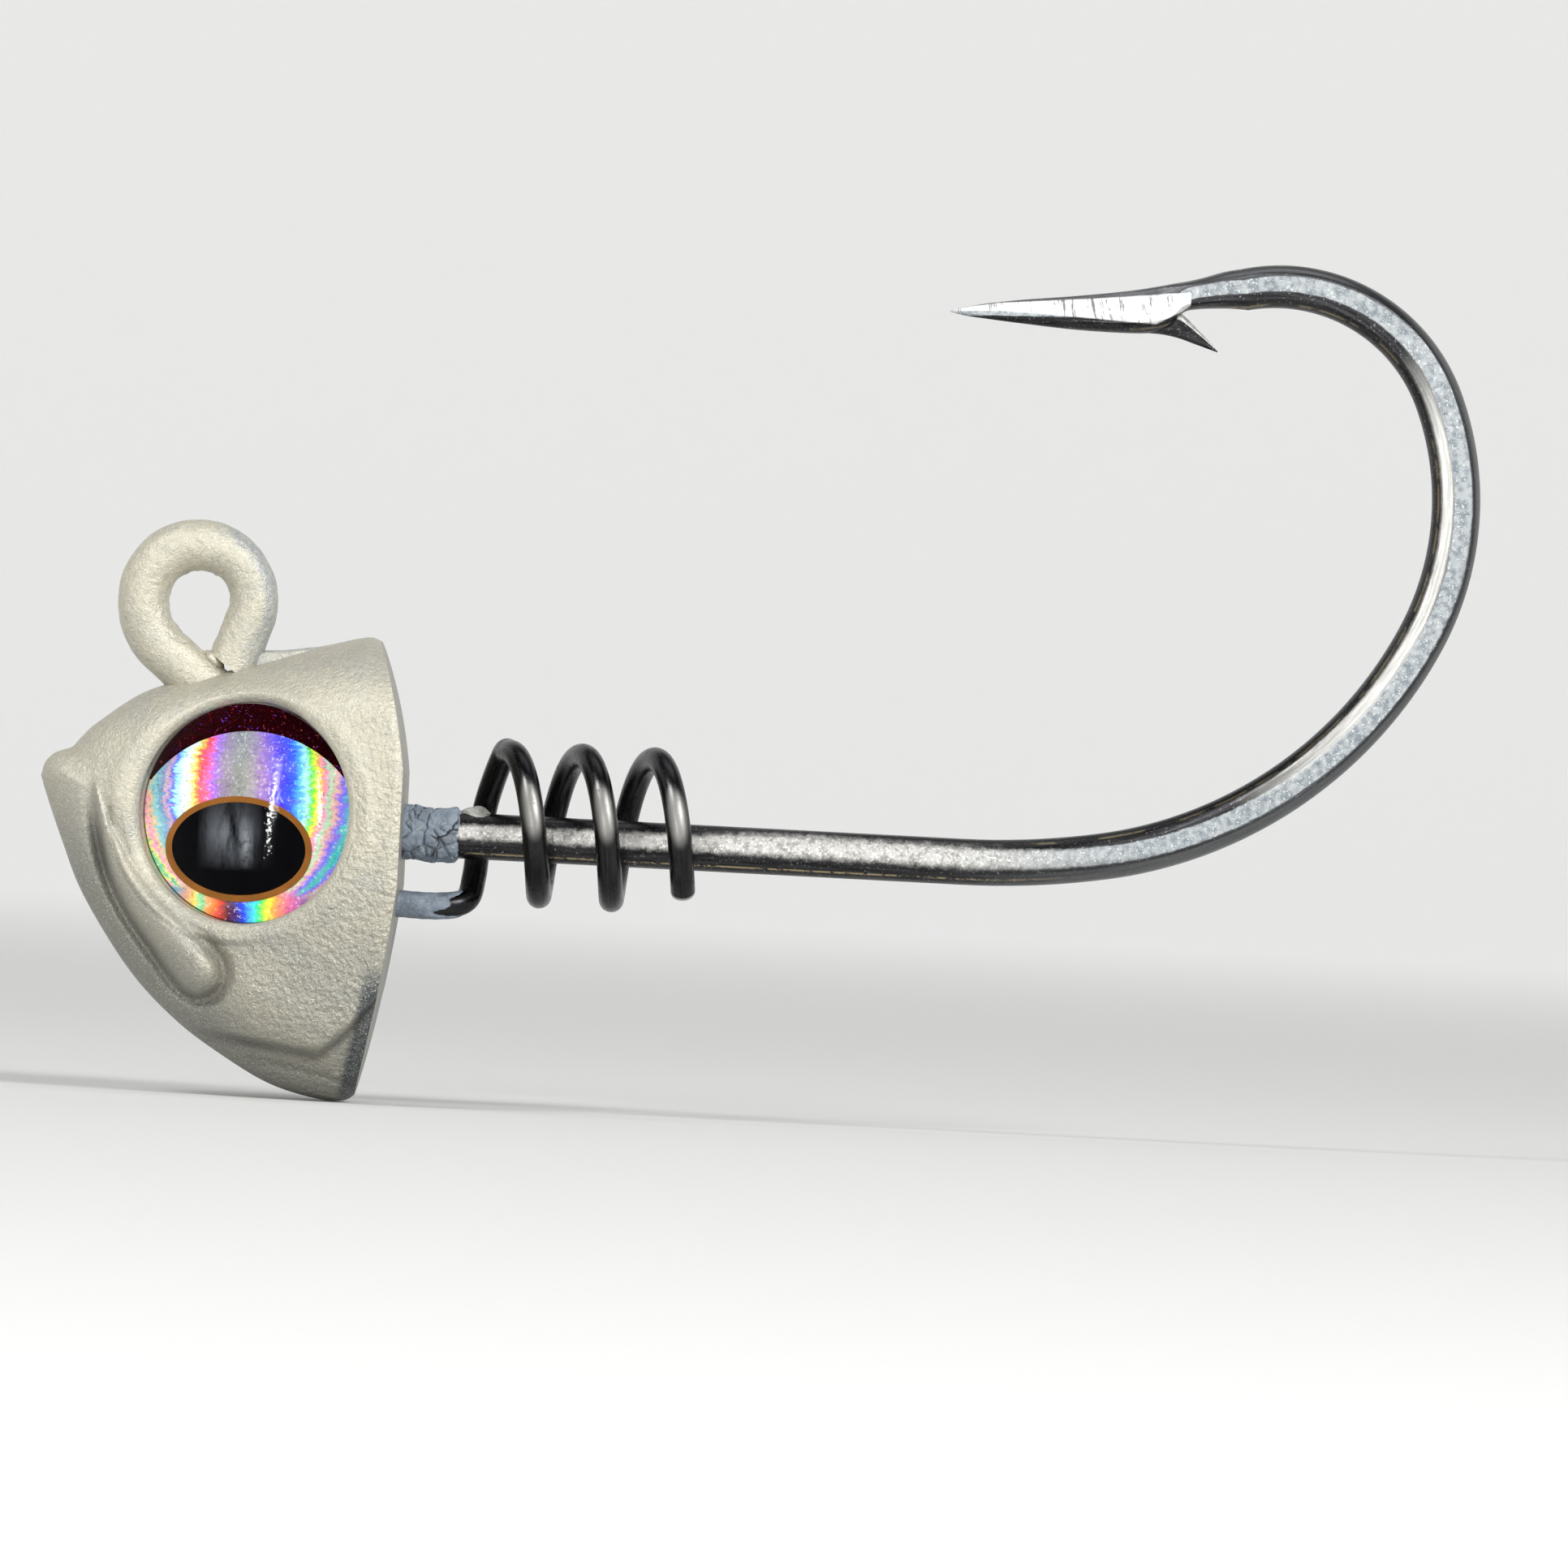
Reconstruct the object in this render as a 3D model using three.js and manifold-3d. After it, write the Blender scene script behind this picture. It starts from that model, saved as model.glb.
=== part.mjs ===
// Jig head for soft baits: a lead fish head cast on a forged hook, with glued eyes and a
// screw lock. Millimetres: +X runs from the head along the hook's shank, +Z is up, and the
// origin is the centre of the line tie's ring.
import * as THREE from 'three';
import * as BufferGeometryUtils from 'three/addons/utils/BufferGeometryUtils.js';
import Module from 'manifold-3d';

const wasm = await Module();
wasm.setup();

// Hook wire
const wireDiameter = 1.88;
const forgedThickness = 1.5; // across the flattened sides of the bend
const forgedHeight = 2.08; // the same wire, spread in the plane of the bend
const paintCoat = 0.1; // on the line tie only
const lineTieRadius = 2.2; // centreline of the ring
const lineTieTurn = 250; // degrees of ring between its tail and its leg
const tailLength = 1.9; // straight end of the ring, cut along the leg that it nearly meets
const legHeading = -38; // degrees, from the ring down into the head
const legLength = 2.4;
const crookRadius = 2.0; // bend from the leg into the neck
const neckRadius = 2.2; // bend from the neck into the shank
const shankDrop = 9.04; // shank's axis below the ring's centre
const shankEnd = 31.6; // x where the bend starts
const bendTaper = 0.1; // how much less the wire's half height is at the end of the bend
const bendArcs = [
  [31.7, 10.4],
  [17.2, 53.9],
  [11.9, 48.4],
  [7.0, 81.3],
]; // radius and degrees of each arc round the bend

// Hook point, measured from the end of the bend
const pointLength = 11.92;
const pointDrop = 1.48;
const pointThickness = 1.45;
const tipRadius = 0.04;
const pointProfile = [
  [0.07, -0.67, 0.81],
  [0.16, -0.34, 0.9],
  [0.205, -0.2, 1.08],
  [0.243, -0.1, 1.66],
  [0.3, 0.06, 1.93],
  [0.4, 0.3, 2.01],
  [0.57, 0.6, 1.98],
  [0.74, 0.85, 1.85],
  [0.865, 1.08, 1.73],
  [0.95, 1.3, 1.63],
]; // share of the length, then how far its upper and lower edges lie below the bend's end
const barbProfile = [
  [4.6, 1.3, 1.97],
  [3.4, 1.15, 1.98],
  [2.6, 1.12, 2.12],
  [1.8, 1.72, 2.36],
  [0.95, 2.5, 2.6],
]; // the same edges for the barb, at distances back from the bend's end
const barbThickness = 0.9;
const barbTaper = 0.85; // share of its thickness lost towards its tip

// Head casting
const headDrop = 8.57; // eye's centre below the ring's centre
const eyeSetback = 2.3; // eye's centre behind the ring's centre
const cheekThickness = 4.0; // half the head's width at the eye
const cheekYaw = 14.8; // degrees, cheeks open towards the back
const edgeRound = 3.3; // width of the rounded border along the crest
const backFace = 8.83; // x of the flat land that the bait is pushed against
const landTop = 6.6; // both below the ring's centre
const landBottom = 11.2;
const gillStep = 0.45; // throat's recess under the gill plate
const ridgeHeight = 0.55; // of the ridge behind the mouth
const grooveDepth = 0.4; // of the mouth's groove beside it
const collarLength = 2.3; // sleeve of lead where the shank leaves the head
const collarRoot = 1.31; // its radius at the head
const collarTip = 1.19; // its radius at its end
const collarOverlap = 0.8; // how far it reaches into the head
const webThickness = 0.9; // thin web between the ring's tail and the crest
const webOutline = [
  [1.6, -3.4],
  [5.6, -2.2],
  [5.0, -1.74],
  [3.6, -1.88],
  [2.2, -1.96],
]; // X and Z; its lower edge is inside the head
const castingRings = [0, 0.16, 0.3, 0.42, 0.53, 0.64, 0.74, 0.83, 0.9, 0.95, 0.98, 1];

// Eyes
const eyeDiameter = 8.9;
const adhesiveThickness = 0.25;
const foilThickness = 0.15;
const domeEdge = 0.55;
const domeCrown = 1.15;
const domeSquareness = 2.4; // higher is flatter in the middle
const socketDepth = 1.8;
const socketBevel = 0.45;
const socketReach = 1; // how far the cut stands out of the cheek

// Screw lock
const springWire = 1.0;
const springRadius = 2.9; // centreline
const springPitch = 2.95;
const springTurns = 2 + 146 / 360;
const springStart = 13.0; // x of the first turn's top
const springRise = 0.6; // coil's axis above the shank's axis
const springLegDrop = 2.9; // leg below the shank's axis
const springLean = 8; // degrees that each turn's near side stands back
const riseSetback = 1.325; // where the wire rises behind the shank, ahead of the first top
const riseRoute = [
  [-1.1, 0.05, 0],
  [-0.15, 0.45, 0.3],
  [0.1, 1.35, 1.25],
  [0.2, 2.26, 2.6],
  [0.45, 2.49, 4.4],
]; // from that place: X, Y towards the far side, and height above the leg
const anchorDepth = 3.4; // leg's length inside the casting
const anchorHook = 1.5; // its end, turned down so that the lead holds it
const anchorCorner = 0.6; // radius of that turn
const springSteps = 96; // rings along the wire
const turnStep = 18; // degrees between the points of each turn

// Gap between each cast-in or glued piece and the casting, so that the solids stay separate
const fit = 0.05;
const endGap = 0.1; // the same gap beyond the buried ends of the two wires

// Facets
const wireSides = 12;
const springSides = 4; // per half turn of the section
const eyeSides = 36;
const collarSides = 20;
const arcStep = 9; // degrees

const radians = THREE.MathUtils.degToRad;
const shankZ = -shankDrop;
const wireRadius = wireDiameter / 2;

function solidOf(geometry) {
  const bare = geometry.clone();
  bare.deleteAttribute('normal');
  bare.deleteAttribute('uv');
  const merged = BufferGeometryUtils.mergeVertices(bare, 1e-4);
  return new wasm.Manifold(new wasm.Mesh({
    numProp: 3,
    vertProperties: merged.attributes.position.array,
    triVerts: Uint32Array.from(merged.index.array),
  }));
}

function geometryOf(solid) {
  const mesh = solid.getMesh();
  const geometry = new THREE.BufferGeometry();
  geometry.setAttribute('position', new THREE.BufferAttribute(mesh.vertProperties, 3));
  geometry.setIndex(new THREE.BufferAttribute(mesh.triVerts, 1));
  return geometry;
}

function triangles(points, faces) {
  const geometry = new THREE.BufferGeometry();
  geometry.setFromPoints(points);
  geometry.setIndex(faces);
  return geometry;
}

// Closed skin over rings of points that all turn the same way, with a flat fan on each end
function loft(rings) {
  const sides = rings[0].length;
  const points = rings.flat();
  const faces = [];
  for (let i = 0; i + 1 < rings.length; i += 1) {
    for (let k = 0; k < sides; k += 1) {
      const a = i * sides + k;
      const b = i * sides + (k + 1) % sides;
      faces.push(a, b, b + sides, a, b + sides, a + sides);
    }
  }
  const ends = [rings[0], rings[rings.length - 1]];
  ends.forEach((ring, end) => {
    const middle = new THREE.Vector3();
    ring.forEach((point) => middle.addScaledVector(point, 1 / sides));
    const hub = points.push(middle) - 1;
    const first = end === 0 ? 0 : (rings.length - 1) * sides;
    for (let k = 0; k < sides; k += 1) {
      const a = first + k;
      const b = first + (k + 1) % sides;
      faces.push(...(end === 0 ? [hub, b, a] : [hub, a, b]));
    }
  });
  return triangles(points, faces);
}

// A pen that draws a wire's centreline in the XZ plane with straights and arcs
class Pen {
  constructor(x, z, heading) {
    this.at = { x, z, heading };
    this.stations = [{ ...this.at }];
  }

  step(length, turn) {
    const middle = radians(this.at.heading + turn / 2);
    this.at.x += length * Math.cos(middle);
    this.at.z += length * Math.sin(middle);
    this.at.heading += turn;
    this.stations.push({ ...this.at });
  }

  go(length) {
    this.step(length, 0);
    return this;
  }

  // Degrees to the left are positive
  turn(radius, degrees) {
    const steps = Math.max(1, Math.round(Math.abs(degrees) / arcStep));
    const each = degrees / steps;
    const chord = 2 * radius * Math.sin(radians(Math.abs(each)) / 2);
    for (let i = 0; i < steps; i += 1) {
      this.step(chord, each);
    }
    return this;
  }
}

// One ring of a wire: half its height in the plane of the bend, half its width across it,
// and how square its corners are
function wireRing(station, height, width, power = 2) {
  const heading = radians(station.heading);
  const ring = [];
  for (let k = 0; k < wireSides; k += 1) {
    const angle = 2 * Math.PI * (k + 0.5) / wireSides;
    const up = height * Math.sign(Math.sin(angle)) * Math.abs(Math.sin(angle)) ** (2 / power);
    const across = width * Math.sign(Math.cos(angle)) * Math.abs(Math.cos(angle)) ** (2 / power);
    ring.push(new THREE.Vector3(
      station.x - up * Math.sin(heading),
      across,
      station.z + up * Math.cos(heading),
    ));
  }
  return ring;
}

// Ring, neck and shank, up to the start of the bend
function shankPen(endX, tail = tailLength) {
  const tailAngle = legHeading - 90 - lineTieTurn;
  const tailHeading = tailAngle + 90;
  const centre = new THREE.Vector2();
  const start = new THREE.Vector2(lineTieRadius, 0).rotateAround(centre, radians(tailAngle));
  const cutHeading = legHeading + 90;
  const pen = new Pen(
    start.x - tail * Math.cos(radians(tailHeading)),
    start.y - tail * Math.sin(radians(tailHeading)),
    tailHeading,
  );
  pen.stations[0].heading = cutHeading;
  pen.go(tail).turn(lineTieRadius, lineTieTurn).go(legLength);
  pen.turn(crookRadius, -90 - legHeading);
  pen.go(pen.at.z - shankZ - neckRadius).turn(neckRadius, 90);
  pen.go(endX - pen.at.x);
  return pen;
}

function shankRings(pen, gap) {
  return pen.stations.map((station) => {
    const painted = station.z > -lineTieRadius - legLength && station.x < lineTieRadius * 2;
    const radius = wireRadius + gap + (painted ? paintCoat : 0);
    return wireRing(station, radius, radius);
  });
}

function bendRings(pen) {
  const first = pen.stations.length;
  bendArcs.forEach(([radius, degrees]) => pen.turn(radius, degrees));
  const stations = pen.stations.slice(first);
  return stations.map((station, i) => {
    const along = (i + 1) / stations.length;
    const forged = Math.min(1, along * 4);
    const spread = Math.sin(Math.PI * along) * (forgedHeight - wireDiameter) / 2;
    const width = THREE.MathUtils.lerp(wireRadius, forgedThickness / 2, forged);
    return wireRing(station, wireRadius + spread - bendTaper * along, width, 2 + forged);
  });
}

// Ring that spans from an upper to a lower edge, given as distances from the bend's end
function bladeRing(end, back, above, below, width) {
  return wireRing(
    { x: end.x - back, z: end.z - (above + below) / 2, heading: 180 },
    (below - above) / 2,
    width,
    2.2,
  );
}

function pointRings(end) {
  const rings = pointProfile.map(([share, above, below]) => {
    const width = pointThickness / 2 * Math.min(1, 0.12 + 1.5 * (1 - share));
    return bladeRing(end, share * pointLength, above, below, width);
  });
  rings.push(bladeRing(end, pointLength, pointDrop - tipRadius, pointDrop + tipRadius, tipRadius));
  return rings;
}

// The barb is a sliver raised from the underside, with its tip towards the bend
function barb(end) {
  const rings = barbProfile.map(([back, above, below], i) => {
    const share = i / (barbProfile.length - 1);
    const width = barbThickness / 2 * (1 - barbTaper * share ** 2);
    return bladeRing(end, back, above, below, width);
  });
  return loft(rings.reverse());
}

function hookSolid() {
  const pen = shankPen(shankEnd);
  const rings = shankRings(pen, 0);
  rings.push(...bendRings(pen));
  rings.push(...pointRings(pen.at));
  return solidOf(loft(rings)).add(solidOf(barb(pen.at)));
}

// Route of the screw lock: a leg along the underside of the shank, up behind it, then the coil
function springRoute(beyond) {
  const legZ = shankZ - springLegDrop;
  const axisZ = shankZ + springRise;
  const anchorX = backFace - anchorDepth;
  const riseX = springStart - riseSetback;
  const points = [
    new THREE.Vector3(anchorX, 0, legZ - anchorHook - beyond),
    new THREE.Vector3(anchorX, 0, legZ - anchorCorner),
    new THREE.Vector3(anchorX + anchorCorner, 0, legZ),
    new THREE.Vector3(backFace, 0, legZ),
  ];
  riseRoute.forEach(([x, y, up]) => points.push(new THREE.Vector3(riseX + x, y, legZ + up)));
  const steps = Math.round(springTurns * 360 / turnStep);
  for (let i = -1; i <= steps; i += 1) {
    const turn = springTurns * i / steps;
    const angle = 2 * Math.PI * turn;
    const side = -springRadius * Math.sin(angle);
    points.push(new THREE.Vector3(
      springStart + springPitch * turn - side * Math.tan(radians(springLean)),
      side,
      axisZ + springRadius * Math.cos(angle),
    ));
  }
  return new THREE.CatmullRomCurve3(points);
}

function springGeometry(gap, beyond) {
  const section = new THREE.Shape();
  section.absarc(0, 0, springWire / 2 + gap, 0, 2 * Math.PI);
  return new THREE.ExtrudeGeometry(section, {
    steps: springSteps,
    curveSegments: springSides,
    extrudePath: springRoute(beyond),
  });
}

// Side outline of the head, in X and Z: crest, forehead, lip and jaw, then the back edge
function freeEdge() {
  const crest = new THREE.SplineCurve([
    new THREE.Vector2(backFace - 1.25, -1.32),
    new THREE.Vector2(backFace - 1.9, -1.2),
    new THREE.Vector2(5.0, -1.72),
    new THREE.Vector2(2.5, -2.55),
    new THREE.Vector2(0.0, -3.2),
    new THREE.Vector2(-2.0, -3.9),
    new THREE.Vector2(-4.0, -5.4),
    new THREE.Vector2(-4.75, -6.15),
    new THREE.Vector2(-5.3, -6.42),
    new THREE.Vector2(-5.85, -6.9),
    new THREE.Vector2(-6.0, -7.45),
  ]);
  const jaw = new THREE.SplineCurve([
    new THREE.Vector2(-6.0, -7.45),
    new THREE.Vector2(-5.75, -8.2),
    new THREE.Vector2(-5.0, -10.1),
    new THREE.Vector2(-4.0, -12.3),
    new THREE.Vector2(-2.0, -15.2),
    new THREE.Vector2(0.0, -17.15),
    new THREE.Vector2(2.0, -18.5),
    new THREE.Vector2(4.0, -19.55),
    new THREE.Vector2(6.0, -20.05),
    new THREE.Vector2(7.0, -20.03),
    new THREE.Vector2(backFace - 1.43, -19.8),
  ]);
  return [...crest.getPoints(36), ...jaw.getPoints(36).slice(1)];
}

function backEdge() {
  const lower = new THREE.QuadraticBezierCurve(
    new THREE.Vector2(backFace - 1.43, -19.8),
    new THREE.Vector2(backFace - 0.45, -15.6),
    new THREE.Vector2(backFace, -landBottom),
  );
  const upper = new THREE.QuadraticBezierCurve(
    new THREE.Vector2(backFace, -landTop),
    new THREE.Vector2(backFace - 0.3, -4.0),
    new THREE.Vector2(backFace - 1.25, -1.32),
  );
  return [...lower.getPoints(12).slice(1), ...upper.getPoints(8).slice(0, -1)];
}

function distanceTo(point, line) {
  let nearest = Infinity;
  for (let i = 0; i + 1 < line.length; i += 1) {
    const run = line[i + 1].clone().sub(line[i]);
    const offset = point.clone().sub(line[i]);
    const along = THREE.MathUtils.clamp(offset.dot(run) / run.lengthSq(), 0, 1);
    nearest = Math.min(nearest, offset.addScaledVector(run, -along).length());
  }
  return nearest;
}

// The ridge behind the mouth widens from its upper end to its lower one
const ridgeLine = [
  [-3.5, -8.2, 0.12],
  [-3.3, -9.9, 0.22],
  [-2.7, -11.5, 0.42],
  [-1.8, -13.0, 0.62],
  [-0.8, -14.2, 0.8],
  [0.55, -15.45, 0.92],
];

// How far outside the ridge a place lies, and how much it lies on the mouth's side of it
function ridgeDistance(point) {
  let nearest = { gap: Infinity, mouth: 0 };
  for (let i = 0; i + 1 < ridgeLine.length; i += 1) {
    const [x, z, width] = ridgeLine[i];
    const [nextX, nextZ, nextWidth] = ridgeLine[i + 1];
    const run = new THREE.Vector2(nextX - x, nextZ - z);
    const offset = new THREE.Vector2(point.x - x, point.y - z);
    const along = THREE.MathUtils.clamp(offset.dot(run) / run.lengthSq(), 0, 1);
    offset.addScaledVector(run, -along);
    const gap = offset.length() - THREE.MathUtils.lerp(width, nextWidth, along);
    if (gap < nearest.gap) {
      const mouth = offset.normalize().dot(new THREE.Vector2(-0.8, -0.6));
      nearest = { gap, mouth };
    }
  }
  return nearest;
}

// Lower edge of the gill plate, as its height at each x
function gillEdge(x) {
  const flat = -17.2 - 0.13 * x;
  const sweep = Math.max(0, x - 5.9);
  return flat + 0.75 * sweep + 0.18 * sweep ** 2;
}

// Half the head's thickness at a place on its side
function halfThickness(point, edge) {
  const border = distanceTo(point, edge);
  const wedge = cheekThickness + Math.tan(radians(cheekYaw)) * (point.x - eyeSetback);
  const belly = 1 - 0.003 * (point.y + headDrop + 1.5) ** 2;
  const inset = 1 - Math.min(1, border / edgeRound);
  const rounding = Math.sqrt(1 - inset ** 2);
  const ridge = ridgeDistance(point);
  const swell = ridgeHeight * (1 - THREE.MathUtils.smoothstep(ridge.gap, -0.5, 0.3));
  const groove = grooveDepth * Math.exp(-(((ridge.gap - 0.25) / 0.45) ** 2))
    * (0.2 + 0.8 * THREE.MathUtils.smoothstep(ridge.mouth, -0.3, 0.5));
  const under = THREE.MathUtils.smoothstep(gillEdge(point.x) - point.y, -0.1, 0.35);
  const recess = gillStep * under * Math.min(1, border);
  return Math.max(0, wedge * belly * rounding + (swell - groove) * rounding - recess);
}

// The two mould halves meet on the free edge and stand apart along the back edge
function castingBody() {
  const edge = freeEdge();
  const outline = [...edge, ...backEdge()];
  const centre = new THREE.Vector2(eyeSetback, -headDrop);
  const points = [];
  const sides = [-1, 1];
  sides.forEach((side) => {
    points.push(new THREE.Vector3(centre.x, side * halfThickness(centre, edge), centre.y));
    castingRings.forEach((fraction) => {
      outline.forEach((rim, k) => {
        const start = rim.clone().sub(centre).setLength(eyeDiameter / 2).add(centre);
        const place = start.lerp(rim, fraction);
        const onEdge = fraction === 1 && k < edge.length;
        const thickness = onEdge ? 0 : halfThickness(place, edge);
        points.push(new THREE.Vector3(place.x, side * thickness, place.y));
      });
    });
  });
  const count = outline.length;
  const perSide = 1 + castingRings.length * count;
  const faces = [];
  sides.forEach((side, s) => {
    const hub = s * perSide;
    const add = (a, b, c) => faces.push(...(side < 0 ? [a, b, c] : [a, c, b]));
    for (let k = 0; k < count; k += 1) {
      const next = (k + 1) % count;
      add(hub, hub + 1 + k, hub + 1 + next);
      for (let i = 0; i + 1 < castingRings.length; i += 1) {
        const inner = hub + 1 + i * count;
        const outer = inner + count;
        add(inner + k, outer + next, inner + next);
        add(inner + k, outer + k, outer + next);
      }
    }
  });
  const last = 1 + (castingRings.length - 1) * count;
  for (let k = edge.length - 1; k < count; k += 1) {
    const next = (k + 1) % count;
    const near = last + k;
    const nearNext = last + next;
    const far = near + perSide;
    const farNext = nearNext + perSide;
    faces.push(near, farNext, nearNext, near, far, farNext);
  }
  return triangles(points, faces);
}

function collar() {
  const length = collarLength + collarOverlap;
  const shape = new THREE.CylinderGeometry(collarTip, collarRoot, length, collarSides);
  shape.rotateZ(-Math.PI / 2);
  shape.translate(backFace + collarLength - length / 2, 0, shankZ);
  return shape;
}

function web() {
  const outline = new THREE.Shape(webOutline.map(([x, z]) => new THREE.Vector2(x, z)));
  const shape = new THREE.ExtrudeGeometry(outline, { depth: webThickness, bevelEnabled: false });
  shape.rotateX(Math.PI / 2);
  shape.translate(0, webThickness / 2, 0);
  return shape;
}

// Places what is turned about the Y axis on a cheek, with Y pointing out of the head
function onCheek(side) {
  const yaw = radians(cheekYaw);
  const outward = new THREE.Vector3(-Math.sin(yaw), side * Math.cos(yaw), 0);
  const up = new THREE.Vector3(0, 0, 1);
  const across = new THREE.Vector3().crossVectors(outward, up);
  return new THREE.Matrix4()
    .makeBasis(across, outward, up)
    .setPosition(eyeSetback, side * cheekThickness, -headDrop);
}

function socket(side) {
  const radius = eyeDiameter / 2 + fit;
  const profile = [
    new THREE.Vector2(0, -socketDepth),
    new THREE.Vector2(radius, -socketDepth),
    new THREE.Vector2(radius, -socketBevel),
    new THREE.Vector2(radius + socketBevel, 0),
    new THREE.Vector2(radius + socketBevel, socketReach),
    new THREE.Vector2(0, socketReach),
  ];
  return new THREE.LatheGeometry(profile, eyeSides).applyMatrix4(onCheek(side));
}

function disc(base, thickness) {
  const radius = eyeDiameter / 2;
  return new THREE.LatheGeometry([
    new THREE.Vector2(0, base),
    new THREE.Vector2(radius, base),
    new THREE.Vector2(radius, base + thickness),
    new THREE.Vector2(0, base + thickness),
  ], eyeSides);
}

function dome(base) {
  const radius = eyeDiameter / 2;
  const profile = [new THREE.Vector2(0, base), new THREE.Vector2(radius, base)];
  const steps = 6;
  for (let i = 0; i <= steps; i += 1) {
    const away = 1 - i / steps;
    const rise = domeEdge + (domeCrown - domeEdge) * (1 - away ** domeSquareness);
    profile.push(new THREE.Vector2(radius * away, base + rise));
  }
  return new THREE.LatheGeometry(profile, eyeSides);
}

// The channels run past the collar, and a little beyond the wires' buried ends
function headSolid() {
  const body = solidOf(castingBody()).add(solidOf(collar())).add(solidOf(web()));
  const outside = backFace + collarLength + collarOverlap;
  const channel = loft(shankRings(shankPen(outside, tailLength + endGap), fit));
  return body
    .subtract(solidOf(socket(-1)))
    .subtract(solidOf(socket(1)))
    .subtract(solidOf(channel))
    .subtract(solidOf(springGeometry(fit, endGap)));
}

function material(colour, roughness, metalness) {
  return new THREE.MeshStandardMaterial({ color: colour, roughness, metalness });
}

const jigHead = new THREE.Group();

function add(name, geometry, look) {
  const mesh = new THREE.Mesh(geometry, look);
  mesh.name = name;
  jigHead.add(mesh);
  return mesh;
}

add('head', geometryOf(headSolid()), material(0xd9d5c8, 0.45, 0.35));
add('hook', geometryOf(hookSolid()), material(0xc4c7cb, 0.3, 0.95));
add('screw_lock', springGeometry(0, 0), material(0x8f9296, 0.15, 1.0));

const adhesiveBase = -socketDepth + fit;
const foilBase = adhesiveBase + adhesiveThickness + fit;
const domeBase = foilBase + foilThickness + fit;
[['left', -1], ['right', 1]].forEach(([name, side]) => {
  const layers = [
    ['eye_adhesive', disc(adhesiveBase, adhesiveThickness), material(0xe8e6e0, 0.8, 0)],
    ['eye_foil', disc(foilBase, foilThickness), material(0x9fb4d8, 0.25, 0.8)],
    ['eye_dome', dome(domeBase), material(0xf4f6f8, 0.05, 0)],
  ];
  layers.forEach(([layer, shape, look]) => {
    add(`${layer}_${name}`, shape, look).applyMatrix4(onCheek(side));
  });
});

export default jigHead;
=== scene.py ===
import math
from types import SimpleNamespace

import bmesh
import bpy
import numpy as np
from bpy.props import FloatProperty, FloatVectorProperty, PointerProperty
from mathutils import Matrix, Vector, noise


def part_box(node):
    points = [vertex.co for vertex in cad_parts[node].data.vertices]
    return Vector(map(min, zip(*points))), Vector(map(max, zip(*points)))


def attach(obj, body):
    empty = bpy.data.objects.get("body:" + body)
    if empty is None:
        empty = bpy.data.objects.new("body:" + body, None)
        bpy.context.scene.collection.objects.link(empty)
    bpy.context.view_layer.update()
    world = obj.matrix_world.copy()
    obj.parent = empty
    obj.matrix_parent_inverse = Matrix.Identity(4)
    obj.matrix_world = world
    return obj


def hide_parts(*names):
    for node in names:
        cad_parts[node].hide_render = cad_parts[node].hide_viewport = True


bl_info = {
    "name": "Jig head",
    "version": (1, 0, 0),
    "blender": (4, 5, 0),
    "location": "View3D > Sidebar > Jig head",
    "description": "A painted fish-head jig on a forged hook, with foil eyes and a screw lock",
    "category": "Object",
}

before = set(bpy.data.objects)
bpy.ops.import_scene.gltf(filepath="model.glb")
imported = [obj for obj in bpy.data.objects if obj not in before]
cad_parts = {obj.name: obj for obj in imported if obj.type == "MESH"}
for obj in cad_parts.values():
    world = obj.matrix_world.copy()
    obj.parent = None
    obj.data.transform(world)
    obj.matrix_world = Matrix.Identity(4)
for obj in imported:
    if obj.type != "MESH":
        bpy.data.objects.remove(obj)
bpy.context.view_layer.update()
MM = 0.001
BODY = "root"
FLOOR_Z = float(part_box("head")[0][2]) / MM


# ---- sizes and colours

def size(name, description, millimetres):
    return FloatProperty(
        name=name, description=description, default=millimetres * MM, subtype="DISTANCE")


def bearing(name, description, degrees):
    return FloatProperty(
        name=name, description=description, default=math.radians(degrees), subtype="ANGLE")


def colour(name, description, default):
    return FloatVectorProperty(
        name=name, description=description, default=default, subtype="COLOR", min=0.0, max=1.0)


def measured(group):
    """A group's sizes as they are drawn: lengths in millimetres and angles in degrees."""
    scales = {"LENGTH": 1 / MM, "ROTATION": math.degrees(1), "NONE": 1.0}
    units = group.bl_rna.properties
    return SimpleNamespace(**{
        key: round(getattr(group, key) * scales[units[key].unit], 4)
        for key in type(group).__annotations__})


class WireSizes(bpy.types.PropertyGroup):
    """Sizes of the hook's wire."""
    diameter: size("Wire", "Diameter of the shank", 1.88)
    forged: size("Forged thickness", "Across the flattened sides of the bend", 1.5)
    spread: size("Forged height", "The wire's height where it is flattened", 2.06)
    coat: size("Paint", "Thickness of paint on the line tie", 0.1)
    ring: size("Ring", "Centreline radius of the line tie", 2.2)
    ring_turn: bearing("Ring turn", "How far round the line tie goes", 250.0)
    flare: size("Flare", "Radius of the ring where it leads into the leg", 2.75)
    flare_turn: bearing("Flare turn", "How far round the flare goes", 60.0)
    tail: size("Tail", "Straight end of the ring", 2.2)
    leg: size("Leg", "Straight from the ring into the head", 2.4)
    leg_heading: bearing("Leg heading", "Direction of that straight", -38.0)
    crook: size("Crook", "Radius between the leg and the neck", 2.0)
    neck: size("Neck", "Radius between the neck and the shank", 2.2)
    drop: size("Shank drop", "Shank's axis below the ring's centre", 9.04)
    shank_end: size("Shank end", "Where the bend starts", 31.6)
    point: size("Point", "Length from the bend's end to the tip", 11.92)


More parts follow.
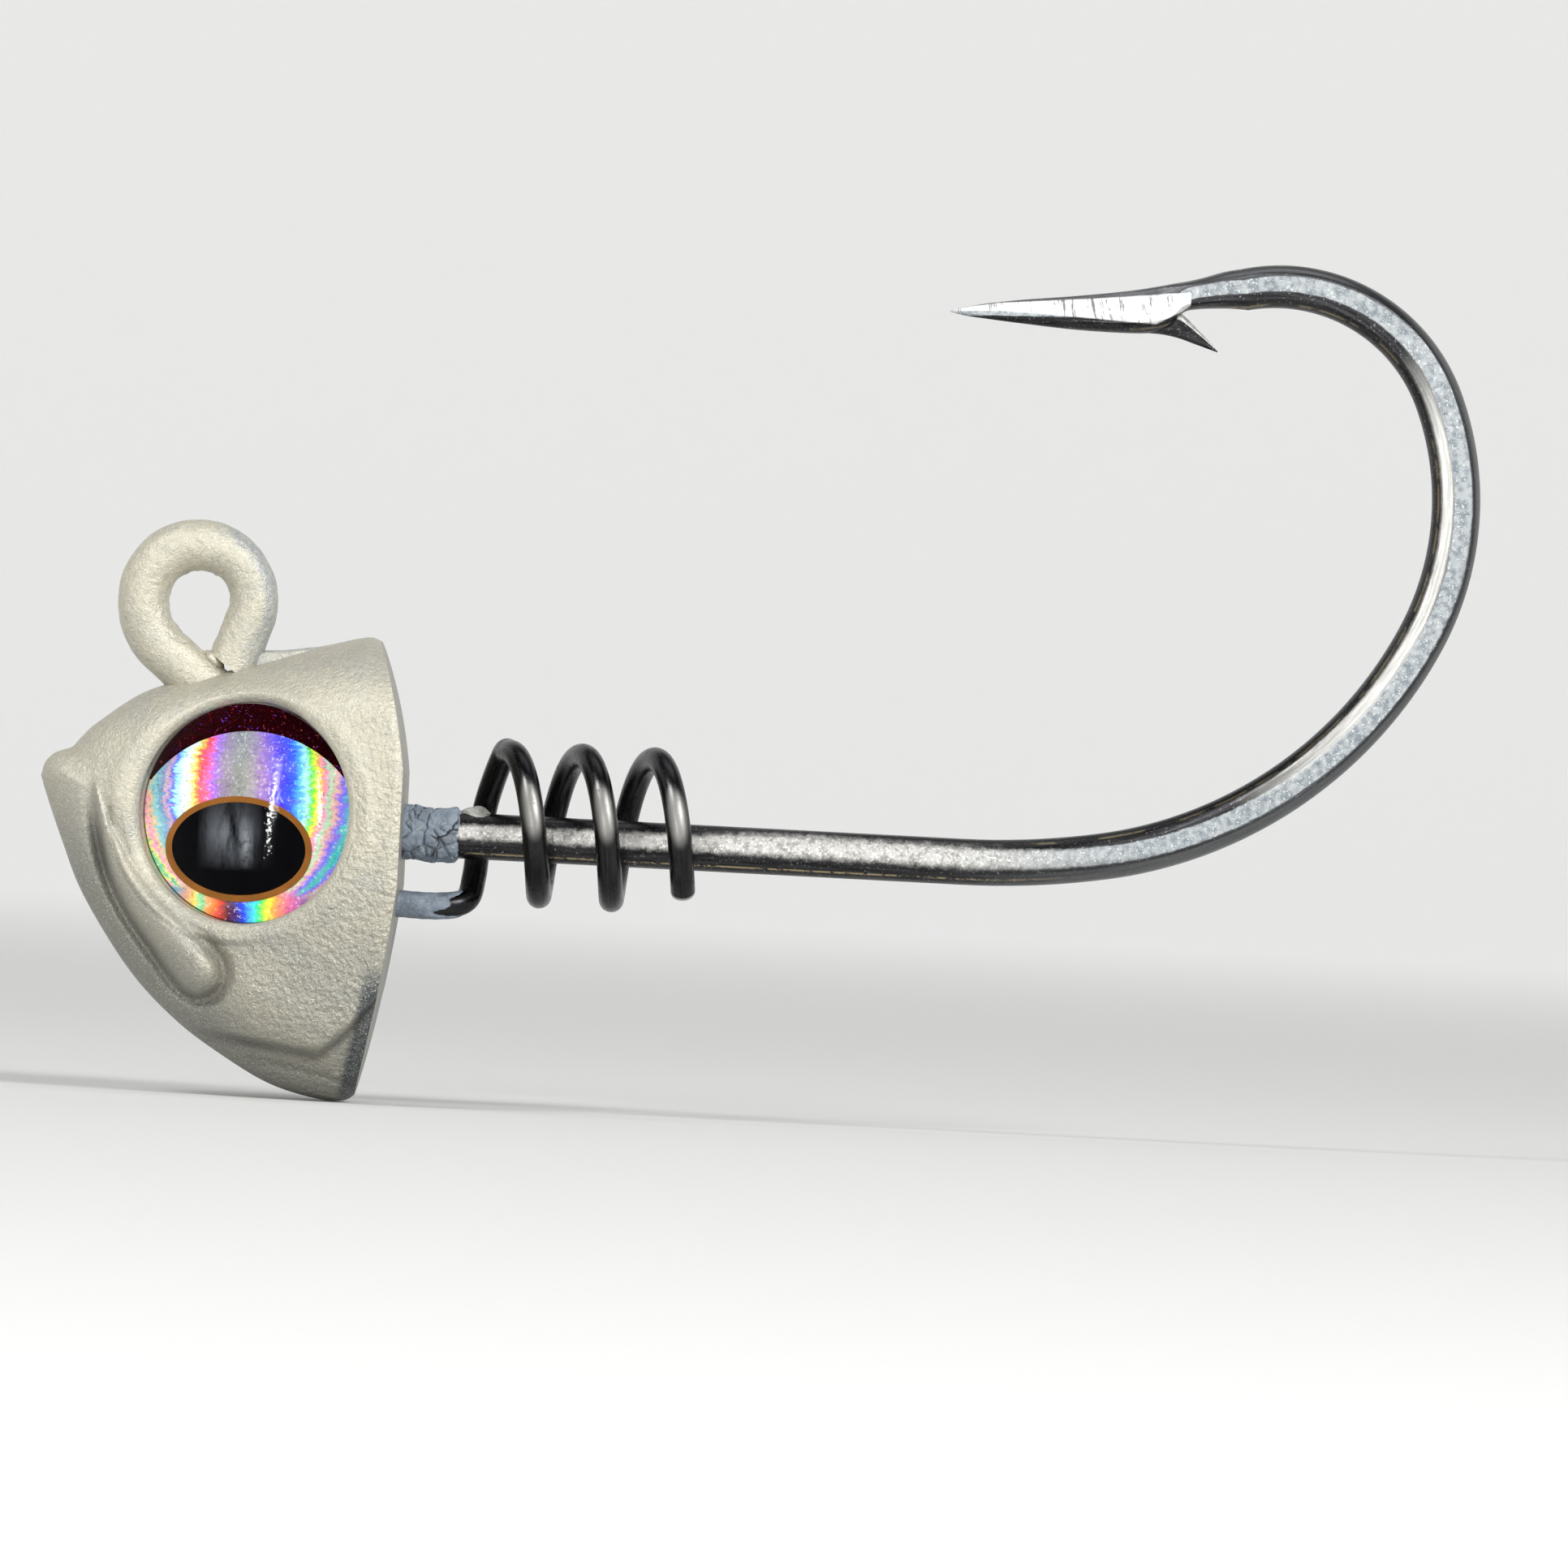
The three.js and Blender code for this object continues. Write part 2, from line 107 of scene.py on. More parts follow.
class HeadSizes(bpy.types.PropertyGroup):
    """Sizes of the cast head."""
    eye_x: size("Eye setback", "Eye's centre behind the ring's centre", 2.3)
    eye_drop: size("Eye drop", "Eye's centre below the ring's centre", 8.57)
    cheek: size("Cheek", "Half the head's width at the eye", 4.0)
    yaw: bearing("Cheek yaw", "How far the cheeks open towards the back", 14.8)
    border: size("Rounded border", "Width of the rounding along the crest and jaw", 3.3)
    back: size("Back", "Where the flat land for the bait lies", 8.83)
    land_top: size("Land top", "Top of the land below the ring's centre", 6.6)
    land_bottom: size("Land bottom", "Bottom of the land below the ring's centre", 11.2)
    gill_step: size("Gill step", "Recess of the throat under the gill plate", 0.6)
    ridge: size("Ridge", "Height of the ridge behind the mouth", 0.72)
    groove: size("Groove", "Depth of the mouth's groove beside it", 0.75)
    pebble: size("Pebble", "Height of the casting's grain under the paint", 0.022)


class CollarSizes(bpy.types.PropertyGroup):
    """Sizes of the crust round the shank and of what else the casting left there."""
    length: size("Length", "How far the crust reaches behind the head", 2.33)
    buried: size("Buried", "How far it starts inside the head", 0.5)
    radius: size("Radius", "Mean radius of the crust", 1.10)
    crust: size("Crust", "How far its flakes stand up", 0.095)
    web: size("Web", "Half the thickness of the web behind the line tie", 0.42)
    flake: size("Stray flake", "Length of the flake of paint on the shank", 1.25)


class EyeSizes(bpy.types.PropertyGroup):
    """Sizes of one glued eye."""
    diameter: size("Eye", "Diameter of the eye", 8.9)
    depth: size("Socket", "Depth of the socket", 1.8)
    bevel: size("Socket bevel", "Width of the soft edge round the socket", 0.42)
    gap: size("Glue line", "Gap between the eye's layers", 0.05)
    adhesive: size("Adhesive", "Thickness of the adhesive disc", 0.25)
    foil: size("Foil", "Thickness of the foil disc", 0.15)
    edge: size("Dome edge", "Thickness of the clear dome at its edge", 0.55)
    crown: size("Dome crown", "Thickness of the clear dome at its middle", 1.15)
    ink: size("Ink", "Thickness of one layer of print", 0.012)


class CoilSizes(bpy.types.PropertyGroup):
    """Sizes of the screw lock's wire."""
    wire: size("Wire", "Diameter of the spring wire", 1.0)
    radius: size("Coil", "Centreline radius of the coil", 2.9)
    pitch: size("Pitch", "Advance of each turn", 2.95)
    turns: FloatProperty(
        name="Turns", description="Number of turns after the first top", default=2.4056,
        subtype="FACTOR", min=1.0, max=6.0)
    start: size("Start", "Where the first turn's top is", 13.0)
    rise: size("Rise", "Coil's axis above the shank's axis", 0.6)
    leg_drop: size("Leg drop", "Leg below the shank's axis", 2.9)
    lean: bearing("Lean", "How far back each turn's near side stands", 8.0)


class Finishes(bpy.types.PropertyGroup):
    """Colours of the paint, the metals and the eye's print."""
    pearl: colour("Pearl paint", "Champagne paint of the head", (0.455, 0.43, 0.345))
    pearl_cool: colour("Cool pearl", "The same paint where it is thin", (0.30, 0.32, 0.33))
    primer: colour("Overspray", "Blue-grey paint on the collar and leg", (0.17, 0.21, 0.26))
    # Painted highlight in the colour of tin plate, along the round shank's bright strip
    tin: colour("Tinned flats", "Bright plating on the hook's flattened sides", (0.52, 0.51, 0.49))
    tin_blue: colour("Blued flats", "Mottling on the forged flats", (0.15, 0.185, 0.21))
    # Painted shade: near-black on the wire's edges, standing in for the dark surroundings they
    # reflect
    tin_edge: colour("Steel edge", "Dark polished edges of the wire", (0.022, 0.022, 0.024))
    # Dark steel held near black as painted shade, so the coil's reflections stay dark whatever
    # they face
    spring: colour("Spring steel", "Polished coil", (0.018, 0.018, 0.020))
    iris: colour("Iris ring", "Copper ring round the pupil", (0.20, 0.078, 0.018))
    pupil: colour("Pupil", "Black print in the eye's middle", (0.0025, 0.0025, 0.003))
    shade: colour("Upper print", "Dark red print over the foil", (0.011, 0.0008, 0.0014))
    floor: colour("Floor", "Pale studio floor", (0.62, 0.62, 0.61))


class StageSizes(bpy.types.PropertyGroup):
    """The studio around the part."""
    look_x: size("Aim X", "Where the camera looks along the shank", 24.19)
    look_z: size("Aim Z", "Where the camera looks, up and down", -6.26)
    width: size("Frame width", "Width of the view at the hook", 63.76)
    distance: size("Distance", "From the camera to the hook's plane", 600.0)
    roll: bearing("Roll", "Tilt of the shank in the view", -3.0)
    floor_radius: size("Floor radius", "Where the floor starts to rise", 900.0)
    cove: size("Cove", "Radius of the curve between floor and wall", 500.0)
    wall: size("Wall", "Height of the wall's top", 1300.0)


GROUPS = {
    "jig_wire": WireSizes,
    "jig_head": HeadSizes,
    "jig_collar": CollarSizes,
    "jig_eye": EyeSizes,
    "jig_coil": CoilSizes,
    "jig_finish": Finishes,
    "jig_stage": StageSizes,
}


# ---- shader expressions

class Shade:
    """A socket that Python's operators build on: each adds a Math node to its finish."""

    def __init__(self, finish, socket):
        self.finish = finish
        self.socket = socket

    def math(self, operation, *values, clamp=False):
        settings = {"operation": operation, "use_clamp": clamp}
        return self.finish.node("ShaderNodeMath", settings, dict(enumerate(values)))

    def __abs__(self):
        return self.math("ABSOLUTE", self)

    def root(self):
        return self.math("SQRT", self)

    def at_least(self, value):
        return self.math("MAXIMUM", self, value)

    def at_most(self, value):
        return self.math("MINIMUM", self, value)

    def above(self, edge, soft=0.05):
        """0 below the edge and 1 above it, with a smooth step between."""
        return self.finish.node("ShaderNodeMapRange", {"interpolation_type": "SMOOTHSTEP"}, {
            0: self, 1: edge - soft, 2: edge + soft, 3: 0.0, 4: 1.0})

    def below(self, edge, soft=0.05):
        return 1 - self.above(edge, soft)

    def near(self, value, width):
        """1 at the value, falling to 0 a width away on both sides."""
        return self.math("SUBTRACT", 1.0, abs(self - value) / width, clamp=True)


def arithmetic(operation):
    """The two methods behind one Python operator: as written, and reflected."""
    def forward(self, other):
        return self.math(operation, self, other)

    def reflected(self, other):
        return self.math(operation, other, self)

    return forward, reflected


for symbol, operation in (("add", "ADD"), ("sub", "SUBTRACT"), ("mul", "MULTIPLY"),
                          ("truediv", "DIVIDE"), ("pow", "POWER")):
    forward, reflected = arithmetic(operation)
    setattr(Shade, f"__{symbol}__", forward)
    setattr(Shade, f"__r{symbol}__", reflected)


class Finish:
    """A material under construction. Places in it are in millimetres."""

    def __init__(self, name):
        self.material = bpy.data.materials.new(name)
        self.material.use_nodes = True
        self.tree = self.material.node_tree
        self.tree.nodes.clear()
        self.output = self.tree.nodes.new("ShaderNodeOutputMaterial")
        coordinates = self.node("ShaderNodeTexCoord", {}, {}, "Object")
        self.place = self.vector("SCALE", coordinates, scale=1 / MM)
        axes = self.node("ShaderNodeSeparateXYZ", {}, {0: self.place}, "X")
        self.x = axes
        self.y = Shade(self, axes.socket.node.outputs["Y"])
        self.z = Shade(self, axes.socket.node.outputs["Z"])

    def node(self, kind, settings, inputs, output=0):
        made = self.tree.nodes.new(kind)
        for name, value in settings.items():
            if name == "stops":
                self.set_stops(made.color_ramp, value)
            else:
                setattr(made, name, value)
        for key, value in inputs.items():
            if isinstance(value, Shade):
                self.tree.links.new(value.socket, made.inputs[key])
            else:
                made.inputs[key].default_value = value
        return Shade(self, made.outputs[output])

    @staticmethod
    def set_stops(ramp, stops):
        while len(ramp.elements) < len(stops):
            ramp.elements.new(1.0)
        for element, (position, tint) in zip(ramp.elements, stops):
            element.position = position
            element.color = (*tint, 1.0)

    def vector(self, operation, *values, scale=None):
        inputs = dict(enumerate(values))
        if scale is not None:
            inputs["Scale"] = scale
        return self.node("ShaderNodeVectorMath", {"operation": operation}, inputs)

    def stretched(self, x, y, z):
        """The place, stretched so that noise on it runs in streaks."""
        return self.vector("MULTIPLY", self.place, (x, y, z))

    def warped(self, scale, amount, place=None):
        """The place, pushed about by noise so that cells and lines lose their regularity."""
        push = self.node("ShaderNodeTexNoise", {}, {
            "Vector": place or self.place, "Scale": scale, "Detail": 4.0}, "Color")
        push = self.vector("SCALE", self.vector("SUBTRACT", push, (0.5, 0.5, 0.5)), scale=amount)
        return self.vector("ADD", place or self.place, push)

    def noise(self, scale, detail=2.0, rough=0.5, place=None):
        return self.node("ShaderNodeTexNoise", {}, {
            "Vector": place or self.place, "Scale": scale, "Detail": detail, "Roughness": rough})

    def cells(self, scale, feature="F1", place=None):
        return self.node("ShaderNodeTexVoronoi", {"feature": feature}, {
            "Vector": place or self.place, "Scale": scale}, "Distance")

    def attribute(self, name):
        return self.node("ShaderNodeAttribute", {"attribute_name": name}, {}, "Fac")

    def ramp(self, value, stops):
        return self.node("ShaderNodeValToRGB", {"stops": stops}, {0: value})

    def mix(self, factor, first, second, blend="MIX"):
        settings = {"data_type": "RGBA", "blend_type": blend, "clamp_factor": True}
        first = first if isinstance(first, Shade) else (*first, 1.0)
        second = second if isinstance(second, Shade) else (*second, 1.0)
        return self.node("ShaderNodeMix", settings, {0: factor, 6: first, 7: second}, 2)

    def bump(self, height, strength, distance):
        return self.node("ShaderNodeBump", {}, {
            "Height": height, "Strength": strength, "Distance": distance})

    def surface(self, **sockets):
        names = {key.replace("_", " ").title(): value for key, value in sockets.items()}
        names = {key.replace("Ior", "IOR"): value for key, value in names.items()}
        fixed = {}
        for key, value in names.items():
            fixed[key] = (*value, 1.0) if isinstance(value, tuple) and len(value) == 3 else value
        return self.node("ShaderNodeBsdfPrincipled", {}, fixed)

    def finished(self, shader):
        self.tree.links.new(shader.socket, self.output.inputs["Surface"])
        return self.material


def tone(name):
    """One of the scene's colours as red, green and blue."""
    return tuple(getattr(bpy.context.scene.jig_finish, name))


# ---- finishes

def pearl_paint(name, cool=0.0, overspray=False):
    """Champagne pearl over a grainy casting, with painted shade in the hollows, along the jaw and
    low down.
    """
    paint = Finish(name)
    warm, thin = tone("pearl"), tone("pearl_cool")
    hollow, jaw, grainy, rear = (
        paint.attribute(key) for key in ("hollow", "jaw", "grainy", "rear"))
    clouds = paint.noise(0.35, 4.0, 0.6)
    patches = paint.noise(1.3, 3.0, 0.6)
    grain = paint.noise(4.2, 3.0, 0.65)
    coolness = clouds.above(0.56, 0.16) * 0.35 + patches.above(0.58, 0.1) * 0.2 + cool
    if overspray:
        reach = (paint.x * paint.x + paint.z * paint.z).root() + patches * 0.5
        outer = reach.above(3.0, 0.22) * (paint.x + paint.z * 0.25).above(1.7, 0.7)
        coolness = coolness + outer * 0.9
    base = paint.mix(coolness.at_most(1.0), warm, thin)
    base = paint.mix(grain.above(0.52, 0.2) * 0.45, base, (0.60, 0.565, 0.45))
    # jaw: painted shade, darker near the free outline and more so low down
    base = paint.mix(jaw * (0.45 + grain * 0.4), base, (0.155, 0.158, 0.15))
    # painted shade: darker towards the bottom, where the surfaces face down
    under = (paint.z * -1).above(11.8, 3.0)
    base = paint.mix(under * (0.30 + clouds * 0.2), base, (0.12, 0.125, 0.115))
    # rear: the rough blue-grey edge along the lower back, darkened further as painted shade
    base = paint.mix(rear * (0.60 + grain * 0.6).at_most(1.0), base, (0.036, 0.046, 0.056))
    # painted shade in the groove, the crease, the fold and under the gill plate's step
    base = paint.mix(hollow * 0.80, base, (0.045, 0.045, 0.040))
    sparkle = paint.noise(20.0, 1.0).above(0.64, 0.05)
    base = paint.mix(sparkle * 0.45 * (1 - hollow), base, (0.90, 0.86, 0.70))
    pits = paint.noise(2.2, 4.0, 0.7).below(0.32, 0.04)
    base = paint.mix(pits * 0.30, base, (0.16, 0.16, 0.15))
    pebbles = paint.cells(4.4, "SMOOTH_F1")
    peel = paint.noise(4.6, 2.0, 0.5)
    fine = paint.noise(10.0, 2.0, 0.6)
    flake = paint.cells(14.0)
    rough_cast = peel * 0.9 - pebbles * 0.5
    height = peel * 0.25 + fine * 0.20 + flake * 0.08 + rough_cast * (0.10 + grainy * 0.60)
    normal = paint.bump(height, 0.8, 0.20 * MM)
    return paint.finished(paint.surface(
        base_color=base, metallic=0.35, roughness=0.40 + grain * 0.14, normal=normal,
        coat_weight=0.12, coat_roughness=0.30))


def overspray_paint(name, cracking=1.0):
    """Blue-grey paint that has cracked and gathered dirt over the collar and the leg."""
    paint = Finish(name)
    crust = paint.noise(1.6, 5.0, 0.65)
    base = paint.mix(crust.above(0.50, 0.16), tone("primer"), (0.27, 0.32, 0.38))
    worn = paint.noise(0.9, 5.0, 0.7).above(0.60, 0.05)
    base = paint.mix(worn * 0.5, base, (0.12, 0.13, 0.15))
    specks = paint.noise(7.0, 3.0, 0.7).above(0.66, 0.03)
    base = paint.mix(specks * 0.7, base, (0.62, 0.58, 0.46))
    cracked = paint.warped(1.1, 0.9)
    gap = paint.cells(0.55, "DISTANCE_TO_EDGE", cracked).below(0.018, 0.016)
    cracks = gap * paint.noise(0.8, 2.0).above(0.56, 0.05) * cracking
    base = paint.mix(cracks * 0.9, base, (0.03, 0.03, 0.035))
    height = crust * 0.9 - cracks * 1.2 + paint.noise(6.0, 4.0, 0.7) * 0.45
    normal = paint.bump(height, 0.9, 0.16 * MM)
    return paint.finished(paint.surface(
        base_color=base, metallic=0.1, roughness=0.62, normal=normal))


def tinned_steel(name):
    """Hook wire: edges painted near-black as shade, a painted highlight along the round shank,
    bright mottled flats and a ground white point.
    """
    steel = Finish(name)
    lift, along = steel.attribute("lift"), steel.attribute("along")
    strip, forged = steel.attribute("strip"), steel.attribute("forged")
    facet, inner = steel.attribute("facet"), steel.attribute("inner")
    lines = steel.node("ShaderNodeCombineXYZ", {}, {
        0: along * 0.3, 1: lift * 5.0, 2: steel.y * 4.0})
    drawn = steel.noise(1.6, 5.0, 0.7, place=lines)
    mottle = steel.noise(3.6, 5.0, 0.75)
    flecks = steel.noise(9.0, 3.0, 0.75)
    ragged = steel.noise(2.6, 3.0, 0.7) - 0.5
    # The strip: on the round shank a painted highlight band, on the bend the forged flat
    soft = 0.42 - forged * 0.30
    on_strip = (abs(strip) + ragged * (0.9 - forged * 0.55)).below(1.0, soft)
    # edge: painted shade, the near-black steel off the strip
    edge = steel.mix(drawn.above(0.5, 0.16) * 0.7, tone("tin_edge"), (0.075, 0.075, 0.078))
    edge = steel.mix(flecks.above(0.64, 0.03) * 0.5, edge, (0.45, 0.45, 0.44))
    bright = steel.mix(mottle.above(0.54, 0.08) * 0.75, tone("tin"), (0.20, 0.19, 0.17))
    bright = steel.mix(flecks.above(0.57, 0.04) * 0.7, bright, (0.90, 0.89, 0.84))
    speck = steel.noise(4.5, 4.0, 0.7).above(0.50, 0.12)
    blued = steel.mix(speck * 0.9, (0.42, 0.445, 0.455), tone("tin_blue"))
    blued = steel.mix(flecks.above(0.59, 0.04) * 0.7, blued, (0.80, 0.81, 0.80))
    bright = steel.mix(forged, bright, blued)
    base = steel.mix(on_strip * 0.94, edge, bright)
    # shine: painted highlight, a pale band on the inside of the bend, strongest where it faces
    # sideways
    shine = inner * (lift + ragged * 0.10).near(0.38, 0.36).above(0.35, 0.25)
    lined = steel.mix(drawn.above(0.50, 0.12) * 0.6, (0.80, 0.79, 0.75), (0.34, 0.34, 0.33))
    base = steel.mix(shine * 0.9, base, lined)
    outer = (strip * -1).above(1.35, 0.20) * forged
    base = steel.mix(outer * (0.35 + drawn * 0.6), base, (0.20, 0.205, 0.21))
    seam = (strip + 1.12).near(0.0, 0.14) * forged
    base = steel.mix(seam * 0.8, base, (0.10, 0.10, 0.11))
    gold = lift.near(-0.70, 0.05) * steel.noise(2.4, 3.0, 0.7).above(0.46, 0.06) * (1 - forged)
    gold = gold + lift.near(0.74, 0.06) * forged * steel.noise(1.1, 3.0).above(0.5, 0.06)
    base = steel.mix(gold * (0.8 - forged * 0.45), base, (0.62, 0.50, 0.28))
    slant = steel.x + steel.z * 0.20 + steel.noise(0.8, 1.0) * 0.4
    across = steel.node("ShaderNodeCombineXYZ", {}, {0: slant, 1: steel.z * 0.12, 2: 0.0})
    wheel = steel.noise(3.4, 4.0, 0.85, place=across)
    marks = wheel.above(0.575, 0.02) * steel.noise(1.6, 2.0).above(0.42, 0.1)
    streaks = steel.noise(5.5, 3.0, 0.7, place=across).above(0.50, 0.12)
    ground = steel.mix(streaks * 0.35, (0.80, 0.80, 0.79), (0.50, 0.50, 0.50))
    ground = steel.mix(marks * 0.85, ground, (0.10, 0.10, 0.11))
    base = steel.mix(facet, base, ground)
    matt = (on_strip + shine * 0.4 + facet).at_most(1.0)
    rough = 0.24 + drawn * 0.10 + matt * 0.16
    height = drawn * 0.5 + mottle * 0.6 + wheel * facet * 0.8
    normal = steel.bump(height, 0.45, 0.05 * MM)
    return steel.finished(steel.surface(
        base_color=base, metallic=1.0 - matt * 0.5, roughness=rough, normal=normal))


# Where the painted highlight down the coil's front begins
COIL_AXIS_Z, COIL_FRONT = -8.45, 3.20


def spring_steel(name):
    """Dark polished spring wire, held near black as painted shade, with a painted highlight down
    its front, drawing lines and specks of dirt.
    """
    steel = Finish(name)
    along = steel.attribute("along")
    lines = steel.node("ShaderNodeCombineXYZ", {}, {
        0: along * 0.25, 1: steel.attribute("around") * 2.4, 2: 0.0})
    drawn = steel.noise(2.4, 5.0, 0.7, place=lines)
    dirt = steel.noise(3.2, 4.0, 0.7).above(0.62, 0.05)
    base = steel.mix(drawn.above(0.5, 0.2), tone("spring"), (0.045, 0.045, 0.047))
    base = steel.mix(dirt * 0.45, base, (0.02, 0.02, 0.02))
    # worn: painted highlight, brighter where the wire faces the front and a little up
    worn = (steel.y * -0.98 + (steel.z - COIL_AXIS_Z) * 0.2).above(COIL_FRONT, 0.13)
    base = steel.mix(worn * (1.15 - drawn * 0.7), base, (0.30, 0.295, 0.28))
    base = steel.mix(steel.attribute("cut"), base, (0.70, 0.70, 0.69))
    normal = steel.bump(drawn + dirt * 0.3, 0.25, 0.03 * MM)
    rough = 0.20 + drawn * 0.14 + dirt * 0.2 + worn * 0.16
    return steel.finished(steel.surface(
        base_color=base, metallic=1.0, roughness=rough, normal=normal))


RAINBOW = [
    (0.005, (0.10, 0.55, 0.30)), (0.030, (0.80, 0.80, 0.15)), (0.046, (0.90, 0.30, 0.55)),
    (0.070, (0.75, 0.50, 0.25)), (0.095, (0.20, 0.55, 0.55)), (0.129, (0.16, 0.28, 0.50)),
    (0.156, (0.60, 0.38, 0.45)), (0.174, (0.08, 0.12, 0.90)), (0.192, (0.35, 0.85, 1.00)),
    (0.210, (0.62, 0.97, 1.00)), (0.248, (0.86, 0.98, 0.70)), (0.266, (0.80, 0.86, 0.16)),
    (0.283, (1.00, 0.40, 0.06)), (0.300, (1.00, 0.07, 0.08)), (0.334, (0.95, 0.14, 0.40)),
    (0.362, (0.42, 0.16, 0.80)), (0.405, (0.29, 0.22, 0.34)), (0.480, (0.27, 0.29, 0.25)),
    (0.545, (0.36, 0.33, 0.35)), (0.585, (0.34, 0.18, 0.50)), (0.640, (0.06, 0.03, 0.75)),
    (0.705, (0.03, 0.10, 1.00)), (0.737, (0.08, 0.50, 1.00)), (0.764, (0.45, 0.98, 0.90)),
    (0.788, (0.08, 0.85, 0.05)), (0.812, (0.85, 0.95, 0.04)), (0.832, (1.00, 0.42, 0.10)),
    (0.850, (0.95, 0.25, 0.50)), (0.874, (0.35, 0.75, 0.45)), (0.900, (0.80, 0.42, 0.35)),
    (0.935, (0.18, 0.12, 0.85)), (0.975, (0.05, 0.50, 0.45)),
]

LOWER_RAINBOW = [
    (0.00, (0.05, 0.30, 0.35)), (0.20, (0.10, 0.35, 0.50)), (0.26, (0.75, 0.35, 0.20)),
    (0.30, (0.90, 0.65, 0.10)), (0.33, (0.15, 0.70, 0.35)), (0.37, (0.95, 0.30, 0.05)),
    (0.42, (0.80, 0.06, 0.03)), (0.46, (0.12, 0.02, 0.03)), (0.50, (0.03, 0.01, 0.20)),
    (0.54, (0.02, 0.08, 0.95)), (0.58, (0.06, 0.65, 0.95)), (0.61, (0.05, 0.85, 0.12)),
    (0.65, (0.95, 0.85, 0.05)), (0.69, (1.00, 0.30, 0.10)), (0.76, (0.70, 0.12, 0.35)),
    (0.84, (0.22, 0.10, 0.40)), (1.00, (0.10, 0.12, 0.30)),
]
BOW_MIDDLE, BOW_REACH = 1.15, 5.05
LOWER_EDGE, UPPER_EDGE = -3.1, 2.3


def rainbow_foil(name):
    """Holographic foil: upright bands of colour that bow outwards with the eye's edge."""
    head = measured(bpy.context.scene.jig_head)
    diameter = measured(bpy.context.scene.jig_eye).diameter
    facing = math.cos(math.radians(head.yaw))
    foil = Finish(name)
    up = foil.z + head.eye_drop
    across = (foil.x - head.eye_x) / facing
    above = (up - BOW_MIDDLE).at_least(0.0)
    lean = 0.038 - across.above(0.0, 0.6) * 0.022
    bow = (1 - (abs(up - BOW_MIDDLE) / BOW_REACH) ** 2.0).at_least(0.12).root()
    bow = bow * (1 - above * above * lean)
    ragged = foil.noise(1.5, 4.0, 0.65, place=foil.stretched(0.5, 0.5, 1.6)) - 0.5
    teeth = foil.noise(6.0, 3.0, 0.75, place=foil.stretched(0.30, 0.30, 1.4)) - 0.5
    band = (across - across.above(1.0, 0.7) * 0.30) / bow + ragged * 0.60 + teeth * 0.95
    share = band * (facing / diameter) + 0.5
    colours = foil.ramp(share.math("PINGPONG", share, 0.985), RAINBOW)
    low_share = (across + ragged * 0.8) / diameter + 0.5
    low = foil.ramp(low_share, LOWER_RAINBOW)
    lower = (up + ragged * 1.2).below(LOWER_EDGE, 0.30)
    colours = foil.mix(lower, colours, low)
    deep = up.above(UPPER_EDGE, 0.7) * 0.55
    colours = foil.mix(deep, colours, foil.mix(1.0, colours, (0.55, 0.62, 0.92), "MULTIPLY"))
    crinkle = foil.noise(7.0, 3.0, 0.75)
    colours = foil.mix(crinkle.below(0.40, 0.06) * 0.55, colours, (0.10, 0.09, 0.12))
    colours = foil.mix(crinkle.above(0.62, 0.04) * 0.45, colours, (0.95, 0.95, 0.97))
    milk = foil.noise(0.9, 3.0, 0.6).above(0.55, 0.2)
    colours = foil.mix(milk * 0.10, colours, (0.85, 0.85, 0.85))
    normal = foil.bump(ragged + teeth, 0.25, 0.05 * MM)
    rough = 0.30 + teeth * 0.15
    return foil.finished(foil.surface(
        base_color=colours, metallic=0.30, roughness=rough, normal=normal, specular_ior_level=0.0))


FLECK_TINTS = [
    (0.34, (0.45, 0.01, 0.03)), (0.46, (0.75, 0.02, 0.05)), (0.52, (0.10, 0.04, 0.75)),
    (0.60, (0.55, 0.08, 0.10))]


def printed_ink(name, tint, glitter=0.0, painted_reflection=0.0):
    """Ink printed over the foil, with specks of foil showing through where it is thin; over the
    pupil, a painted reflection and a painted highlight streak.
    """
    ink = Finish(name)
    thin = ink.noise(1.2, 4.0).above(0.5, 0.25) * 0.35
    base = ink.mix(thin, tint, tuple(min(1, c * 1.8) for c in tint))
    # painted reflection: a grey haze over the pupil, as the dome would reflect
    haze_noise = ink.noise(0.75, 5.0, 0.65, place=ink.stretched(1.8, 1.8, 0.5)).above(0.46, 0.16)
    reflection_haze = ink.x.near(1.9, 1.35) * ink.z.near(-9.4, 1.55) * haze_noise
    base = ink.mix(reflection_haze * painted_reflection, base, (0.20, 0.215, 0.24))
    # painted highlight: a pale streak down the pupil
    streak = (ink.x + ink.z * 0.06).near(1.98, 0.34) * ink.z.near(-9.75, 1.1)
    highlight_streak = streak * painted_reflection * ink.noise(2.5, 4.0, 0.7).above(0.42, 0.15)
    base = ink.mix(highlight_streak, base, (0.28, 0.30, 0.32))
    sparks = ink.noise(8.0, 3.0, 0.8).above(0.640, 0.02)
    hue = ink.ramp(ink.noise(2.0, 1.0), FLECK_TINTS)
    base = ink.mix(sparks * glitter, base, hue)
    return ink.finished(ink.surface(
        base_color=base, roughness=0.45 + ink.noise(4.0) * 0.1, specular_ior_level=0.0))


